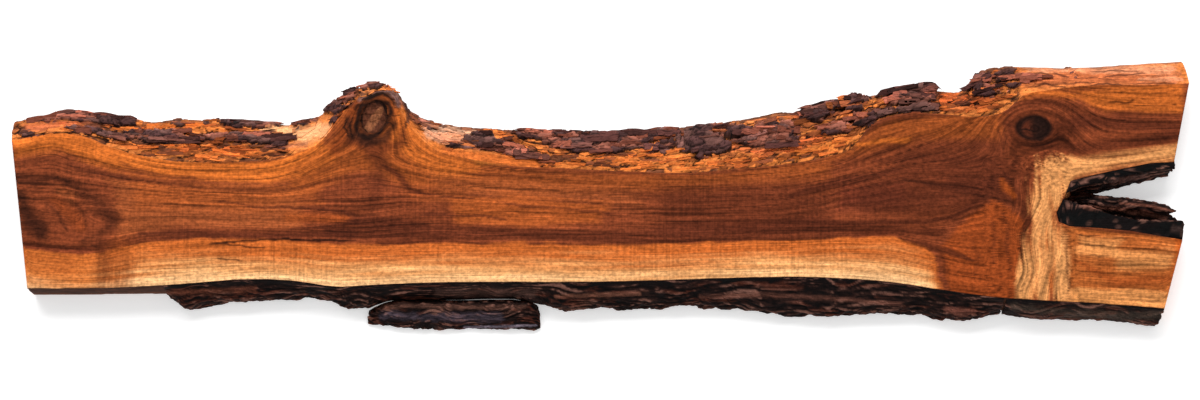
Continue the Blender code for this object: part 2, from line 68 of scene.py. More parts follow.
def joined_copy(node):
    """A copy of a CAD solid as a bmesh, with its loose triangles joined."""
    copy = bmesh.new()
    copy.from_mesh(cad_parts[node].data)
    bmesh.ops.remove_doubles(copy, verts=copy.verts, dist=2e-6)
    copy.normal_update()
    return copy


def lumps(points, scale, seed, octaves=1):
    """Smooth noise from -1 to 1 at each point. The scale is in lumps a metre along each axis."""
    total = np.zeros(len(points))
    share = 1.0
    places = np.asarray(points, float) * scale + np.array((3.1, 7.7, 1.9)) * seed
    for _ in range(octaves):
        total += share * np.array([noise.noise(place) for place in places.tolist()])
        places = places * 2.1 + 5.3
        share *= 0.5
    return total


def eased(low, high, value):
    """0 below low, 1 above high, and a smooth rise between them."""
    share = np.clip((value - low) / (high - low), 0.0, 1.0)
    return share * share * (3.0 - 2.0 * share)


def smoothed(points, edges, weight, rounds):
    """Points drawn towards their neighbours, each by its own weight."""
    counts = np.bincount(edges.ravel(), minlength=len(points)).clip(1)[:, None]
    for _ in range(rounds):
        around = np.zeros_like(points)
        for axis in range(3):
            around[:, axis] = np.bincount(
                edges.ravel(), weights=points[edges[:, ::-1].ravel(), axis], minlength=len(points)
            )
        points = points + (around / counts - points) * weight[:, None]
    return points


def inside(x, y, outline):
    """Whether each place lies inside a closed outline."""
    within = np.zeros(len(x), bool)
    for (ax, ay), (bx, by) in zip(outline, np.roll(outline, -1, axis=0)):
        if ay == by:
            continue
        crosses = (ay > y) != (by > y)
        within ^= crosses & (x < (bx - ax) * (y - ay) / (by - ay) + ax)
    return within


def loops_of(edges):
    """The closed loops that a set of edges makes, each as a list of vertices in order."""
    around = {}
    for edge in edges:
        for vertex in edge.verts:
            around.setdefault(vertex, []).append(edge)
    left = set(edges)
    loops = []
    while left:
        edge = next(iter(left))
        left.discard(edge)
        start, here = edge.verts
        loop = [start, here]
        while here is not start:
            onward = [e for e in around[here] if e in left]
            if not onward:
                break
            left.discard(onward[0])
            here = onward[0].other_vert(here)
            loop.append(here)
        loops.append(loop[:-1])
    return loops


def fill_flat(solid, rim, outward, origin, across, up, step, finish, denser=()):
    """Fills a flat side inside its rim with fine triangles, longer one way, as the grain runs."""
    loops = sorted(loops_of(rim), key=len, reverse=True)
    stretch = np.array((step[1] / step[0], 1.0))
    outlines = [
        np.array([((v.co - origin).dot(across), (v.co - origin).dot(up)) for v in loop]) for loop in loops
    ]
    low = outlines[0].min(axis=0)
    high = outlines[0].max(axis=0)
    fields = []
    for centre, reach, pitch in ((None, None, step), *denser):
        first, last = low, high
        if centre is not None:
            first, last = np.array(centre) - reach, np.array(centre) + reach
        columns = np.arange(first[0], last[0], pitch[0])
        rows = np.arange(first[1], last[1], pitch[1])
        grid = np.array(np.meshgrid(columns, rows)).reshape(2, -1).T
        odd = (np.round((grid[:, 1] - first[1]) / pitch[1]).astype(int) % 2).astype(float)
        grid[:, 0] += odd * pitch[0] / 2
        for other, limit, _ in denser:
            far = np.hypot(*(grid - np.array(other)).T) > limit
            grid = grid[far if centre is None or other != centre else ~far]
        fields.append(grid)
    grid = np.concatenate(fields)
    within = inside(grid[:, 0], grid[:, 1], outlines[0])
    for hole in outlines[1:]:
        within &= ~inside(grid[:, 0], grid[:, 1], hole)
    grid = grid[within]
    near = kdtree.KDTree(sum(len(o) for o in outlines))
    for place in np.concatenate(outlines):
        near.insert((place[0] * stretch[0], place[1], 0.0), 0)
    near.balance()
    apart = [near.find((x * stretch[0], y, 0.0))[2] > step[1] * 0.6 for x, y in grid.tolist()]
    grid = grid[np.array(apart, bool)]
    places = [Vector(place * stretch) for place in np.concatenate([*outlines, grid])]
    bounds, first = [], 0
    for outline in outlines:
        count = len(outline)
        bounds += [(first + i, first + (i + 1) % count) for i in range(count)]
        first += count
    found, _, triangles, origins, _, _ = geometry.delaunay_2d_cdt(places, bounds, [], 1, 1e-7, True)
    vertices = [vertex for loop in loops for vertex in loop]
    made = []
    for place, sources in zip(found, origins):
        if sources and sources[0] < len(vertices):
            made.append(vertices[sources[0]])
        else:
            made.append(solid.verts.new(origin + across * (place[0] / stretch[0]) + up * place[1]))
    spots = np.array([(p[0] / stretch[0], p[1]) for p in found])
    triangles = np.array(triangles)
    middles = spots[triangles].mean(axis=1)
    keep = inside(middles[:, 0], middles[:, 1], outlines[0])
    for hole in outlines[1:]:
        keep &= ~inside(middles[:, 0], middles[:, 1], hole)
    turned = across.cross(up).dot(outward) < 0
    for triangle in triangles[keep].tolist():
        corners = [made[i] for i in (triangle[::-1] if turned else triangle)]
        if len(set(corners)) == 3 and solid.faces.get(corners) is None:
            face = solid.faces.new(corners)
            face.material_index = finish


def dye(red, green, blue):
    """A colour given from 0 to 255, as the renderer's linear values."""
    value = np.array((red, green, blue)) / 255
    return np.where(value <= 0.04045, value / 12.92, ((value + 0.055) / 1.055) ** 2.4)


# The bark, the figure and the stains were traced on a drawing of the slab as it is seen from
# above. Places on it are counted in steps from its upper left corner, to the right and down.
STEP_ALONG, STEP_ACROSS = 0.0015522, 0.0015871
MIDDLE_ALONG, MIDDLE_ACROSS = 600.5, 200
MIDDLE_LEVEL = -0.0197
EYE_HEIGHT, EYE_BEFORE = 3.6, 0.775


def seen_places(points):
    """Places on the drawing, as the eye meets them from above: what lies deeper moves in a little."""
    nearer = 1 - (THICKNESS - points[:, 2]) / EYE_HEIGHT
    x = points[:, 0] * nearer
    y = (points[:, 1] + EYE_BEFORE) * nearer - EYE_BEFORE
    return MIDDLE_ALONG + x / STEP_ALONG, MIDDLE_ACROSS - (y - MIDDLE_LEVEL) / STEP_ACROSS


def line_at(x, line):
    """The height of a traced line over each x, with its corners rounded."""
    line = np.array(line, float)
    fine_x = np.arange(-60, 1280, 4.0)
    fine_y = np.interp(fine_x, line[:, 0], line[:, 1])
    kernel = np.hanning(9)
    fine_y = np.convolve(np.pad(fine_y, 4, mode="edge"), kernel / kernel.sum(), mode="valid")
    return np.interp(x, fine_x, fine_y)


def from_line(x, y, line):
    """How far each place is from a tapering line, where 1 is the line's own half width."""
    best = np.full(len(x), 99.0)
    for (ax, ay, aw), (bx, by, bw) in zip(line, line[1:]):
        length = max((bx - ax) ** 2 + (by - ay) ** 2, 1e-9)
        share = np.clip(((x - ax) * (bx - ax) + (y - ay) * (by - ay)) / length, 0.0, 1.0)
        away = np.hypot(x - ax - share * (bx - ax), y - ay - share * (by - ay))
        best = np.minimum(best, away / (aw + share * (bw - aw)))
    return best


def from_outline(x, y, outline):
    """How far inside an outline each place is, less than 0 outside it."""
    outline = np.array(outline, float)
    within = inside(x, y, outline)
    away = from_line(x, y, [(*p, 1.0) for p in [*outline, outline[0]]])
    return np.where(within, away, -away)


def drawn_out(px, py, scale, seed, octaves):
    """Smooth noise over the drawing, with its own scale along and across."""
    return lumps(np.stack([px, py, px * 0], axis=1), (*scale, 1), seed, octaves)


def laid(colour, shade, weight):
    """Colours with a shade laid over them, each by its own weight."""
    return colour * (1 - weight[:, None]) + shade * weight[:, None]


# Where old bark still clings to the upper edge, patch by patch, as outlines on the drawing
CLINGING = (
    ((17, 120), (24, 117), (33, 115), (49, 115), (51, 121), (39, 122), (30, 121), (23, 122)),
    ((49, 112), (58, 108), (75, 106), (86, 110), (103, 113), (126, 115), (134, 120), (128, 124),
        (112, 124), (98, 122), (88, 121), (78, 121), (68, 118), (52, 117)),
    ((65, 127), (72, 124), (95, 127), (103, 131), (124, 133), (126, 130), (133, 128), (143, 130),
        (152, 128), (174, 129), (178, 133), (192, 134), (211, 134), (225, 130), (226, 134), (211, 139),
        (192, 141), (168, 142), (150, 140), (133, 138), (112, 138), (100, 135), (88, 133), (73, 131)),
    ((20, 132), (30, 130), (34, 133), (33, 138), (22, 138)),
    ((170, 117), (178, 117), (178, 124), (170, 124)),
    ((202, 117), (209, 117), (209, 123), (202, 123)),
    ((214, 118), (222, 116), (258, 118), (265, 121), (290, 121), (288, 125), (270, 124), (255, 126),
        (244, 125), (241, 128), (232, 127), (231, 124), (228, 128), (222, 128), (219, 122)),
    ((290, 122), (301, 117), (314, 114), (318, 117), (308, 122), (306, 128), (297, 129), (290, 127)),
    ((226, 131), (256, 131), (265, 131), (275, 134), (283, 134), (284, 152), (272, 149), (262, 141),
        (238, 139), (226, 136)),
    ((340, 92), (350, 84), (362, 80), (376, 80), (378, 84), (374, 88), (368, 85), (356, 88), (352, 94),
        (345, 98)),
    ((323, 104), (342, 95), (344, 99), (332, 106), (324, 112)),
    ((323, 110), (338, 105), (355, 101), (359, 104), (350, 106), (340, 109), (334, 122), (327, 124),
        (330, 116)),
    ((380, 79), (390, 82), (398, 92), (404, 104), (409, 116), (404, 112), (397, 100), (389, 90),
        (379, 84)),
    ((412, 112), (424, 120), (436, 124), (430, 128), (418, 122)),
    ((464, 137), (469, 132), (491, 131), (496, 137), (509, 140), (525, 150), (549, 157), (520, 157),
        (496, 150), (470, 148), (450, 148), (452, 144), (468, 144)),
    ((488, 124), (515, 127), (547, 129), (600, 127), (650, 128), (652, 140), (640, 148), (620, 151),
        (605, 153), (568, 151), (560, 144), (544, 138), (525, 137), (512, 132)),
    ((596, 127), (660, 126), (700, 125), (722, 124), (722, 130), (700, 132), (676, 136), (640, 139),
        (600, 136)),
    ((640, 145), (668, 140), (676, 146), (664, 152), (644, 151)),
    ((488, 140), (512, 142), (520, 146), (500, 146)),
    ((996, 74), (1012, 66), (1030, 66), (1022, 72), (1006, 80)),
    ((677, 131), (685, 126), (701, 128), (702, 133), (711, 126), (718, 136), (727, 140), (735, 145),
        (726, 152), (706, 154), (703, 159), (698, 152), (686, 152), (681, 145)),
    ((717, 129), (737, 128), (751, 129), (757, 126), (792, 122), (799, 127), (798, 139), (787, 146),
        (775, 144), (751, 144), (739, 139), (721, 136)),
    ((800, 104), (835, 96), (852, 94), (869, 91), (870, 97), (858, 100), (830, 104), (826, 118),
        (800, 116)),
    ((822, 127), (832, 119), (850, 122), (850, 129), (842, 133), (831, 134), (822, 131)),
    ((852, 95), (858, 98), (863, 114), (867, 114), (882, 108), (895, 108), (908, 105), (922, 99),
        (943, 106), (927, 111), (902, 110), (892, 114), (878, 119), (868, 126), (860, 123), (854, 109)),
    ((888, 87), (908, 80), (931, 74), (940, 90), (934, 98), (920, 97), (914, 101), (895, 102), (892, 94)),
    ((967, 77), (982, 70), (990, 72), (995, 82), (1002, 89), (997, 97), (988, 96), (978, 89), (968, 86)),
    ((1013, 85), (1028, 75), (1042, 74), (1037, 81), (1022, 86)),
    ((1002, 91), (1015, 87), (1017, 90), (1004, 94)),
    ((1074, 66), (1078, 66), (1080, 75), (1086, 82), (1082, 83), (1076, 76)),
)
# How the bare part is stained: tint, strength, softness, and a line with half widths
TINTS = (
    ((172, 92, 58), 0.9, 0.8, ((20, 127, 6), (40, 126, 6), (62, 122, 5), (86, 126, 5), (100, 129, 4))),
    ((206, 116, 52), 0.8, 0.9, ((110, 126, 5), (140, 125, 7), (180, 125, 7), (215, 126, 6))),
    ((216, 120, 56), 0.9, 0.9, ((120, 142, 4), (150, 146, 6), (200, 149, 9), (240, 149, 9),
        (262, 151, 7))),
    ((112, 66, 58), 0.8, 0.8, ((150, 141, 3), (170, 142, 3), (226, 134, 4), (258, 138, 6), (280, 145, 6))),
    ((226, 172, 124), 0.95, 0.8, ((262, 127, 5), (285, 130, 8), (305, 134, 12), (322, 128, 9))),
    ((150, 96, 74), 0.7, 0.9, ((284, 146, 4), (305, 144, 4))),
    ((232, 150, 92), 0.9, 0.8, ((344, 99, 4), (356, 93, 4), (371, 87, 4))),
    ((170, 98, 46), 0.9, 0.7, ((398, 88, 4), (403, 104, 6), (410, 118, 7), (425, 124, 8))),
    ((226, 184, 156), 0.9, 0.8, ((430, 130, 8), (450, 130, 8), (478, 128, 5))),
    ((220, 172, 144), 0.8, 0.8, ((424, 136, 6), (445, 141, 6), (468, 139, 5))),
    ((182, 98, 44), 1.0, 0.5, ((432, 153, 7), (470, 158, 9), (520, 162, 7), (580, 167, 5))),
    ((228, 134, 66), 0.95, 0.8, ((525, 143, 4), (560, 148, 7), (600, 156, 8), (650, 158, 8),
        (672, 152, 8))),
    ((220, 130, 64), 0.9, 0.8, ((560, 166, 5), (620, 170, 5), (700, 170, 5))),
    ((226, 124, 72), 0.95, 0.7, ((735, 146, 5), (760, 150, 6), (790, 150, 5), (815, 138, 8))),
    ((214, 126, 62), 0.9, 0.7, ((700, 166, 5), (750, 163, 7), (790, 158, 7), (830, 149, 6))),
    ((230, 144, 88), 0.95, 0.7, ((728, 125, 3), (755, 121, 5), (785, 116, 6))),
    ((216, 124, 58), 0.9, 0.7, ((861, 108, 6), (880, 102, 7), (893, 101, 5))),
    ((222, 130, 60), 0.9, 0.8, ((800, 156, 6), (840, 144, 6), (880, 140, 4), (915, 138, 2))),
    ((184, 98, 54), 0.95, 0.8, ((936, 98, 10), (960, 100, 14), (985, 100, 10))),
    ((204, 118, 54), 0.8, 0.8, ((985, 82, 8), (1010, 78, 9))),
    ((172, 96, 58), 0.95, 0.8, ((1030, 78, 12), (1080, 76, 12), (1130, 76, 14), (1180, 76, 14))),
    ((206, 140, 104), 0.9, 0.8, ((1034, 68, 4), (1080, 67, 5), (1130, 68, 6), (1180, 68, 7))),
    ((206, 140, 104), 0.7, 0.8, ((1150, 78, 3), (1184, 78, 4))),
    ((70, 36, 26), 0.8, 0.7, ((1060, 71, 1.2), (1068, 74, 1.6), (1074, 76, 1.2))),
    ((60, 30, 24), 0.7, 0.7, ((1040, 82, 0.8), (1070, 83, 1.4), (1100, 81, 0.8))),
    ((60, 30, 24), 0.7, 0.7, ((1110, 75, 0.8), (1130, 74, 1.4), (1152, 72, 0.8))),
    ((60, 30, 24), 0.7, 0.7, ((1140, 83, 0.8), (1160, 82, 1.2), (1180, 83, 0.8))),
    ((52, 26, 20), 0.8, 0.7, ((1030, 86, 0.6), (1052, 83, 1.7), (1072, 87, 0.6))),
    ((52, 26, 20), 0.8, 0.7, ((1086, 86, 0.6), (1112, 82, 1.7), (1138, 86, 0.6))),
    ((60, 30, 24), 0.7, 0.7, ((1096, 70, 0.5), (1122, 69, 1.1), (1150, 71, 0.5))),
    ((60, 30, 24), 0.7, 0.7, ((1030, 73, 0.6), (1046, 71, 1.3), (1060, 75, 0.6))),
    ((60, 30, 24), 0.6, 0.7, ((1080, 78, 0.5), (1100, 76, 1.0), (1126, 79, 0.5))),
)
# Where it is smooth, without flakes
SMOOTH_BARE = (
    ((262, 122), (330, 112), (334, 132), (320, 152), (290, 150), (284, 138)),
    ((432, 150), (470, 149), (530, 156), (540, 164), (540, 170), (440, 168)),
    ((40, 118), (64, 118), (62, 131), (24, 131), (20, 124)),
    ((1024, 40), (1210, 40), (1210, 100), (1024, 96)),
)
# The line that the flakes run along, and their larger and smaller size
EDGE_RUN = (
    (10, 132), (60, 122), (100, 128), (140, 136), (200, 138), (260, 140), (330, 136), (400, 130),
    (440, 138), (520, 144), (600, 148), (700, 146), (760, 138), (820, 122), (880, 106), (940, 92),
    (1000, 80), (1080, 76), (1190, 74),
)
FLAKE, SMALL_FLAKE = (17.0, 5.4), (7.5, 2.8)
# How far up the drawing, towards the light, each place looks at the next flake: one standing higher paints a
# shadow on it, one standing lower leaves it a painted highlight
TOWARDS_LIGHT = 1.3
# No stain is brighter than this, and no dry chip
BRIGHTEST, BRIGHTEST_DRY = 0.95, 0.92


def flaked(px, py, size, seed):
    """The flake that each place belongs to: its middle, its lot from 0 to 1, and how far off its crack is."""
    run = line_at(px, EDGE_RUN)
    warp = np.stack([px * 0.05, py * 0.09, np.full(len(px), seed)], axis=1)
    wx = px + 5.0 * lumps(warp, (1, 1, 1), seed, 2)
    wy = py - run + 1.8 * lumps(warp, (2, 2, 1), seed + 1, 2)
    places = np.stack([wx / size[0], wy / size[1], np.full(len(px), seed * 1.7)], axis=1)
    found = [noise.voronoi(place) for place in places.tolist()]
    own = np.array([points[0][:2] for _, points in found])
    middle = own * size + np.stack([px - wx, py - run - wy], axis=1)
    gap = np.array([away[1] - away[0] for away, _ in found])
    lot = 0.5 + 0.5 * np.sin(1e3 * (own[:, 0] * 1.3 + own[:, 1] * 2.9))
    return middle[:, 0], middle[:, 1] + line_at(middle[:, 0], EDGE_RUN), lot, gap


def clings(x, y, lot):
    """Whether bark still clings where a flake has its middle."""
    return np.max([from_outline(x, y, outline) for outline in CLINGING], axis=0) > 1.6 * (lot - 0.5)


def flakes_at(px, py):
    """The large and the small flake at each place, whether it is bark, and its level."""
    large = flaked(px, py, FLAKE, 3)
    small = flaked(px, py, SMALL_FLAKE, 8)
    bark = clings(0.5 * (large[0] + small[0]), 0.5 * (large[1] + small[1]), small[2])
    return large, small, bark, np.where(bark, 1.2 + 0.5 * large[2], 0.7 * large[2]) + 0.35 * small[2]


def held_in(colour, most):
    """Colours darkened until no channel is above a limit, so that they keep their hue."""
    return colour * np.minimum(1.0, most / colour.max(axis=1).clip(1e-4))[:, None]


def weathered(px, py):
    """The upper edge as weather and beetles left it: its colour, its height over the bare wood, where bark
    clings, the tone of dry chips on it, and where those hang. The colour carries painted light and shade on
    the flakes' sides, painted shadow under them and in their cracks and holes, and painted highlights."""
    (_, my, lot, gap), (nx, ny, small_lot, small_gap), bark_here, level = flakes_at(px, py)
    # The step up to the flake towards the light, for the painted shadow and highlight below
    step = flakes_at(px, py - TOWARDS_LIGHT)[3] - level
    rough_share = 1 - eased(-2.0, 2.0, np.max([from_outline(px, py, o) for o in SMOOTH_BARE], axis=0))
    # Where each place lies in its flake, from its lower side at -1 to its upper side at 1, for the painted
    # light below
    slope = np.clip((my - py) / (FLAKE[1] / 2), -1, 1)
    small_slope = np.clip((ny - py) / (SMALL_FLAKE[1] / 2), -1, 1)
    ragged_line = drawn_out(px, py, (0.11, 0.05), 77, 3)
    fibres = drawn_out(px, py, (0.045, 0.75), 78, 3)
    colour = np.tile(dye(204, 122, 62), (len(px), 1))
    for tint, strength, soft, line in TINTS:
        thin = max(width for _, _, width in line) < 2
        away = from_line(px, py + 1.2 * ragged_line, line) if thin else from_line(nx, ny, line)
        colour = laid(colour, dye(*tint), strength * (1 - eased(1 - soft, 1.15, away)))
    colour = colour * (1 + 0.5 * fibres * (1 - rough_share))[:, None]
    colour = laid(colour, dye(122, 64, 36), 0.75 * rough_share * ((lot > 0.76) & (small_lot < 0.8)))
    colour = laid(colour, dye(82, 52, 44), 0.85 * rough_share * ((lot < 0.15) & (small_lot > 0.25)))
    # Each flake's tone varies at random, and is painted lighter on its upper side and darker on its lower
    # side, as the light from above falls: painted light and shade
    shade = (0.72 + 0.62 * small_lot + 0.30 * (lot - 0.5)) * (1 + 0.22 * slope + 0.22 * small_slope)
    colour = colour * (1 + (shade - 1)[:, None] * (0.3 + 0.7 * rough_share)[:, None])
    plate = dye(112, 76, 68) * (0.62 + 0.62 * small_lot)[:, None]
    plate = np.where((lot > 0.62)[:, None], plate * (0.55, 0.52, 0.58), plate)
    plate = np.where((lot < 0.22)[:, None], plate * (1.9, 1.45, 1.15), plate)
    # The bark's plates are painted lighter on their upper sides and darker on their lower sides in the same
    # way
    plate = plate * (1 + 0.16 * slope + 0.12 * small_slope)[:, None]
    colour = np.where(bark_here[:, None], plate * (0.98, 0.94, 0.95), colour * (1.12, 1.0, 0.92))
    # The dry chips take this colour, with the flakes' painted light and shade, made brighter and warmer
    dry = colour * (1 + 0.2 * (small_lot - 0.5))[:, None] * (1.4, 1.2, 1.1)
    rough_or_bark = np.where(bark_here, 0.9, rough_share)
    # Painted shadow where the flake towards the light stands higher, and painted highlight where it stands
    # lower
    painted_shadow = eased(0.10, 0.42, step) * rough_or_bark
    painted_highlight = eased(0.2, 0.8, -step)
    # Cracks, darkest along the flakes' lower sides, holes, and cracks across the bark's plates are darkened
    # as painted shade, and the surface sinks a little there
    crack_shade = (1 - eased(0.03, 0.15, gap)) * (0.3 + 0.7 * eased(0.3, -0.1, slope))
    crack_shade = crack_shade * eased(-0.5, 0.0, drawn_out(px, py, (0.045, 0.09), 75, 2)) * rough_or_bark
    hole = eased(0.46, 0.56, drawn_out(px, py, (0.10, 0.46), 71, 2)) * np.where(bark_here, 0.0, rough_share)
    plate_crack_shade = 0.8 * (1 - eased(0.02, 0.10, small_gap)) * bark_here * eased(-0.5, 0.1, lot - small_lot)
    crevice_sink_and_shade = np.max([painted_shadow, crack_shade, hole, plate_crack_shade], axis=0)
    colour = colour * (1 + 0.45 * painted_highlight * rough_or_bark)[:, None] * (1 - 0.94 * crevice_sink_and_shade[:, None])
    height = np.where(bark_here, 0.0014 + 0.0012 * lot, 0.0010 * (lot - 0.4) * rough_share)
    height = height + 0.0002 * (small_lot - 0.5) * rough_share - 0.0009 * crevice_sink_and_shade
    chipped = rough_share * (1 - bark_here)
    return held_in(colour, BRIGHTEST), height, bark_here, held_in(dry, BRIGHTEST_DRY), chipped


# The crest swells out along the slab, or draws in, by these steps. It is whole at the skyline, and
# fades out below it.
BULGE = (
    (-60, 0), (660, 0), (684, 3.5), (716, 4.5), (740, 5.5), (770, 5.5), (786, 6), (797, 1), (806, -3),
    (828, -3), (850, 0), (1280, 0),
)
BULGE_ENDS, BULGE_WHOLE = 24, 4
cad_px, cad_py = seen_places(np.concatenate([
    np.array([v.co[:] for v in node.data.vertices]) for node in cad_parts.values()
]))
CAD_TOP = [
    (column, cad_py[np.abs(cad_px - column) < 10].min()) for column in np.arange(30, 1180, 6.0)
]


def bulged(points):
    """Points moved out, or in, where the crest swells."""
    px, py = seen_places(points)
    share = eased(BULGE_ENDS, BULGE_WHOLE, py - line_at(px, CAD_TOP))
    return points + np.stack([px * 0, line_at(px, BULGE) * STEP_ACROSS * share, px * 0], axis=1)


FACE, EDGE, END, HOLLOW = range(4)
SMALLEST_FLAT = 5e-4
slab = joined_copy("slab_wood")
slab.faces.ensure_lookup_table()
slab.faces.index_update()
seen = set()
flats = []
for face in slab.faces:
    if face.index in seen:
        continue
    seen.add(face.index)
    group = [face]
    for current in group:
        for edge in current.edges:
            for other in edge.link_faces:
                if other.index not in seen and other.normal.dot(face.normal) > 0.99999:
                    seen.add(other.index)
                    group.append(other)
    if sum(f.calc_area() for f in group) > SMALLEST_FLAT:
        flats.append((face.normal.copy(), group[0].verts[0].co.copy(), group))
    else:
        for f in group:
            middle = f.calc_center_median()
            dx, dy = middle.x - BURL_KNOT[0], middle.y - BURL_KNOT[1]
            hollow = math.hypot(dx / BURL_KNOT[2], dy / BURL_KNOT[3]) < 1.25 and f.normal.z > 0.1
            f.material_index = HOLLOW if hollow else EDGE
rims = slab.edges.layers.int.new("rim")
inner, gone = [], []
for number, (_, _, group) in enumerate(flats):
    members = set(group)
    for edge in {e for f in group for e in f.edges}:
        if all(f in members for f in edge.link_faces):
            inner.append(edge)
        else:
            edge[rims] |= 1 << number
    gone += group
bmesh.ops.delete(slab, geom=gone, context="FACES_ONLY")
bmesh.ops.delete(slab, geom=inner, context="EDGES")
bmesh.ops.delete(slab, geom=[v for v in slab.verts if not v.link_edges], context="VERTS")


def upper_side(face):
    """Whether a face lies on the upper natural edge."""
    middle = face.calc_center_median()
    return middle.y > (0.0 if middle.x < FORK_ROOT else UPPER_LIMB)


def surface_of(solid):
    """A tree that finds the nearest place on a solid. The solid itself isn't needed any more."""
    tree = bvhtree.BVHTree.FromBMesh(solid)
    solid.free()
    return tree


def read(items, field, width=1, kind=float):
    """One field of every item of a mesh."""
    values = np.empty(len(items) * width, kind)
    items.foreach_get(field, values)
    return values.reshape(-1, width) if width > 1 else values


def stand(name, data):
    """An object in the scene, at the origin."""
    made = bpy.data.objects.new(name, data)
    bpy.context.scene.collection.objects.link(made)
    return made


fine = {e for f in slab.faces if upper_side(f) for e in f.edges}
bmesh.ops.subdivide_edges(slab, edges=list(fine), cuts=4, use_grid_fill=True)
LONGEST_EDGE = 0.0048
coarse = [e for e in slab.edges if e.calc_length() > LONGEST_EDGE]
bmesh.ops.subdivide_edges(slab, edges=coarse, cuts=2, use_grid_fill=True)
bmesh.ops.triangulate(slab, faces=slab.faces)
slab.verts.index_update()
slab.verts.ensure_lookup_table()
slab.normal_update()

barks = [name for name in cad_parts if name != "slab_wood"]
all_bark = bmesh.new()
for name in barks:
    all_bark.from_mesh(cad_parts[name].data)
bark_tree = surface_of(all_bark)
wood_tree = surface_of(joined_copy("slab_wood"))

points = np.array([v.co[:] for v in slab.verts])
edges = np.array([[v.index for v in e.verts] for e in slab.edges])
held = np.zeros(len(points))
held[[v.index for e in slab.edges if e[rims] for v in e.verts]] = 1.0
points = smoothed(points, edges, 0.5 * (1.0 - held), 3)
for vertex, place in zip(slab.verts, points):
    vertex.co = place
slab.normal_update()
outward = np.array([v.normal[:] for v in slab.verts])
clear = np.array([bark_tree.find_nearest(p)[3] for p in points.tolist()])
relief = 0.0005 * lumps(points, (55, 150, 150), 1, 3)
weathering = points[:, 1] > np.where(points[:, 0] < FORK_ROOT, 0.0, LIMB_WEATHERING)
relief[weathering] = weathered(*seen_places(points[weathering]))[1]
BARK_GAP = 0.0004
relief = np.clip(relief, -0.5 * clear, 0.6 * np.maximum(clear - BARK_GAP, 0.0))
move = outward * relief[:, None]
for number, (normal, _, _) in enumerate(flats):
    on = [v.index for e in slab.edges if e[rims] & (1 << number) for v in e.verts]
    axis = np.array(normal)
    move[on] -= (move[on] @ axis)[:, None] * axis
points = points + move
points[:, 2] = points[:, 2].clip(0.0, THICKNESS)
for vertex, place in zip(slab.verts, points):
    vertex.co = place

for number, (normal, place, _) in enumerate(flats):
    rim = [e for e in slab.edges if e[rims] & (1 << number)]
    if abs(normal.z) > 0.9:
        step, denser = (FACE_STEP, FINE_FIELDS) if normal.z > 0 else (UNDERSIDE_STEP, ())
        along, across = Vector((1, 0, 0)), Vector((0, 1, 0))
        fill_flat(slab, rim, normal, Vector((0, 0, place.z)), along, across, step, FACE, denser)
    else:
        up = Vector((0, 0, 1))
        up = (up - normal * up.dot(normal)).normalized()
        side = END if abs(normal.x) > 0.7 else EDGE
        fill_flat(slab, rim, normal, place, up.cross(normal).normalized(), up, END_STEP, side)
slab.normal_update()
mesh = bpy.data.meshes.new("walnut_slab")
slab.to_mesh(mesh)
slab.free()
walnut_slab = stand("walnut_slab", mesh)
mesh.shade_smooth()
mesh.set_sharp_from_angle(angle=math.radians(38))
points = bulged(read(mesh.vertices, "co", 3))
mesh.vertices.foreach_set("co", points.ravel())

# Lines of the grain on the upper face, from the bark side down, with how much of it lies above each
GRAIN = (
    (0.14, ((12, 160), (50, 152), (70, 160), (110, 170), (160, 177), (215, 180), (270, 179), (300, 172),
        (330, 155), (345, 148), (375, 146), (400, 158), (430, 168), (480, 174), (610, 180), (700, 182),
        (780, 178), (840, 168), (900, 151), (950, 131), (985, 112), (1020, 100), (1060, 97), (1100, 108),
        (1190, 112))),
    (0.50, ((20, 190), (70, 196), (120, 200), (180, 202), (250, 206), (330, 211), (360, 212), (400, 206),
        (450, 205), (520, 208), (610, 212), (700, 213), (780, 210), (830, 200), (870, 190), (905, 181),
        (935, 185), (967, 191), (990, 196), (1010, 198), (1040, 196), (1060, 190), (1071, 180),
        (1120, 170), (1190, 160))),
    (0.56, ((20, 200), (70, 206), (120, 208), (180, 209), (250, 212), (330, 216), (360, 218), (400, 213),
        (450, 212), (520, 215), (610, 219), (700, 221), (780, 221), (860, 223), (922, 222), (955, 214),
        (977, 204), (990, 200), (1010, 202), (1040, 208), (1057, 219), (1100, 228), (1190, 240))),
    (0.75, ((25, 248), (66, 254), (93, 256), (146, 241), (207, 238), (270, 240), (352, 244), (403, 243),
        (444, 242), (560, 243), (600, 243.5), (675, 244.5), (720, 241.5), (760, 239.5), (800, 239),
        (830, 238), (895, 237), (930, 246), (960, 255), (1000, 262), (1080, 264), (1190, 268))),
)
HEART_EDGE = GRAIN[-1][1][:17] + ((930, 248), (937, 258), (943, 275), (944, 330))

sap_pale = dye(238, 178, 122)
sap_white = dye(255, 214, 172)
sap_left = dye(206, 118, 58)
sap_orange = dye(200, 108, 52)
heart = dye(133, 67, 42)
heart_dark = dye(88, 42, 29)
heart_orange = dye(176, 92, 46)
swirl_dark = dye(56, 28, 20)
heart_light = dye(158, 86, 50)
red_brown = dye(112, 52, 38)
black_line = dye(45, 22, 16)
gold = dye(212, 116, 50)
olive_gold = dye(184, 110, 48)
rust = dye(160, 84, 38)
flame = dye(180, 88, 36)
crotch_dark = dye(90, 43, 27)
limb_tan = dye(182, 102, 52)
limb_light = dye(222, 154, 98)
limb_brown = dye(158, 80, 38)
limb_orange = dye(190, 90, 34)
crotch_pale = dye(226, 162, 108)
crotch_red = dye(154, 74, 35)
knot_black = dye(30, 16, 14)
knot_red = dye(84, 40, 27)

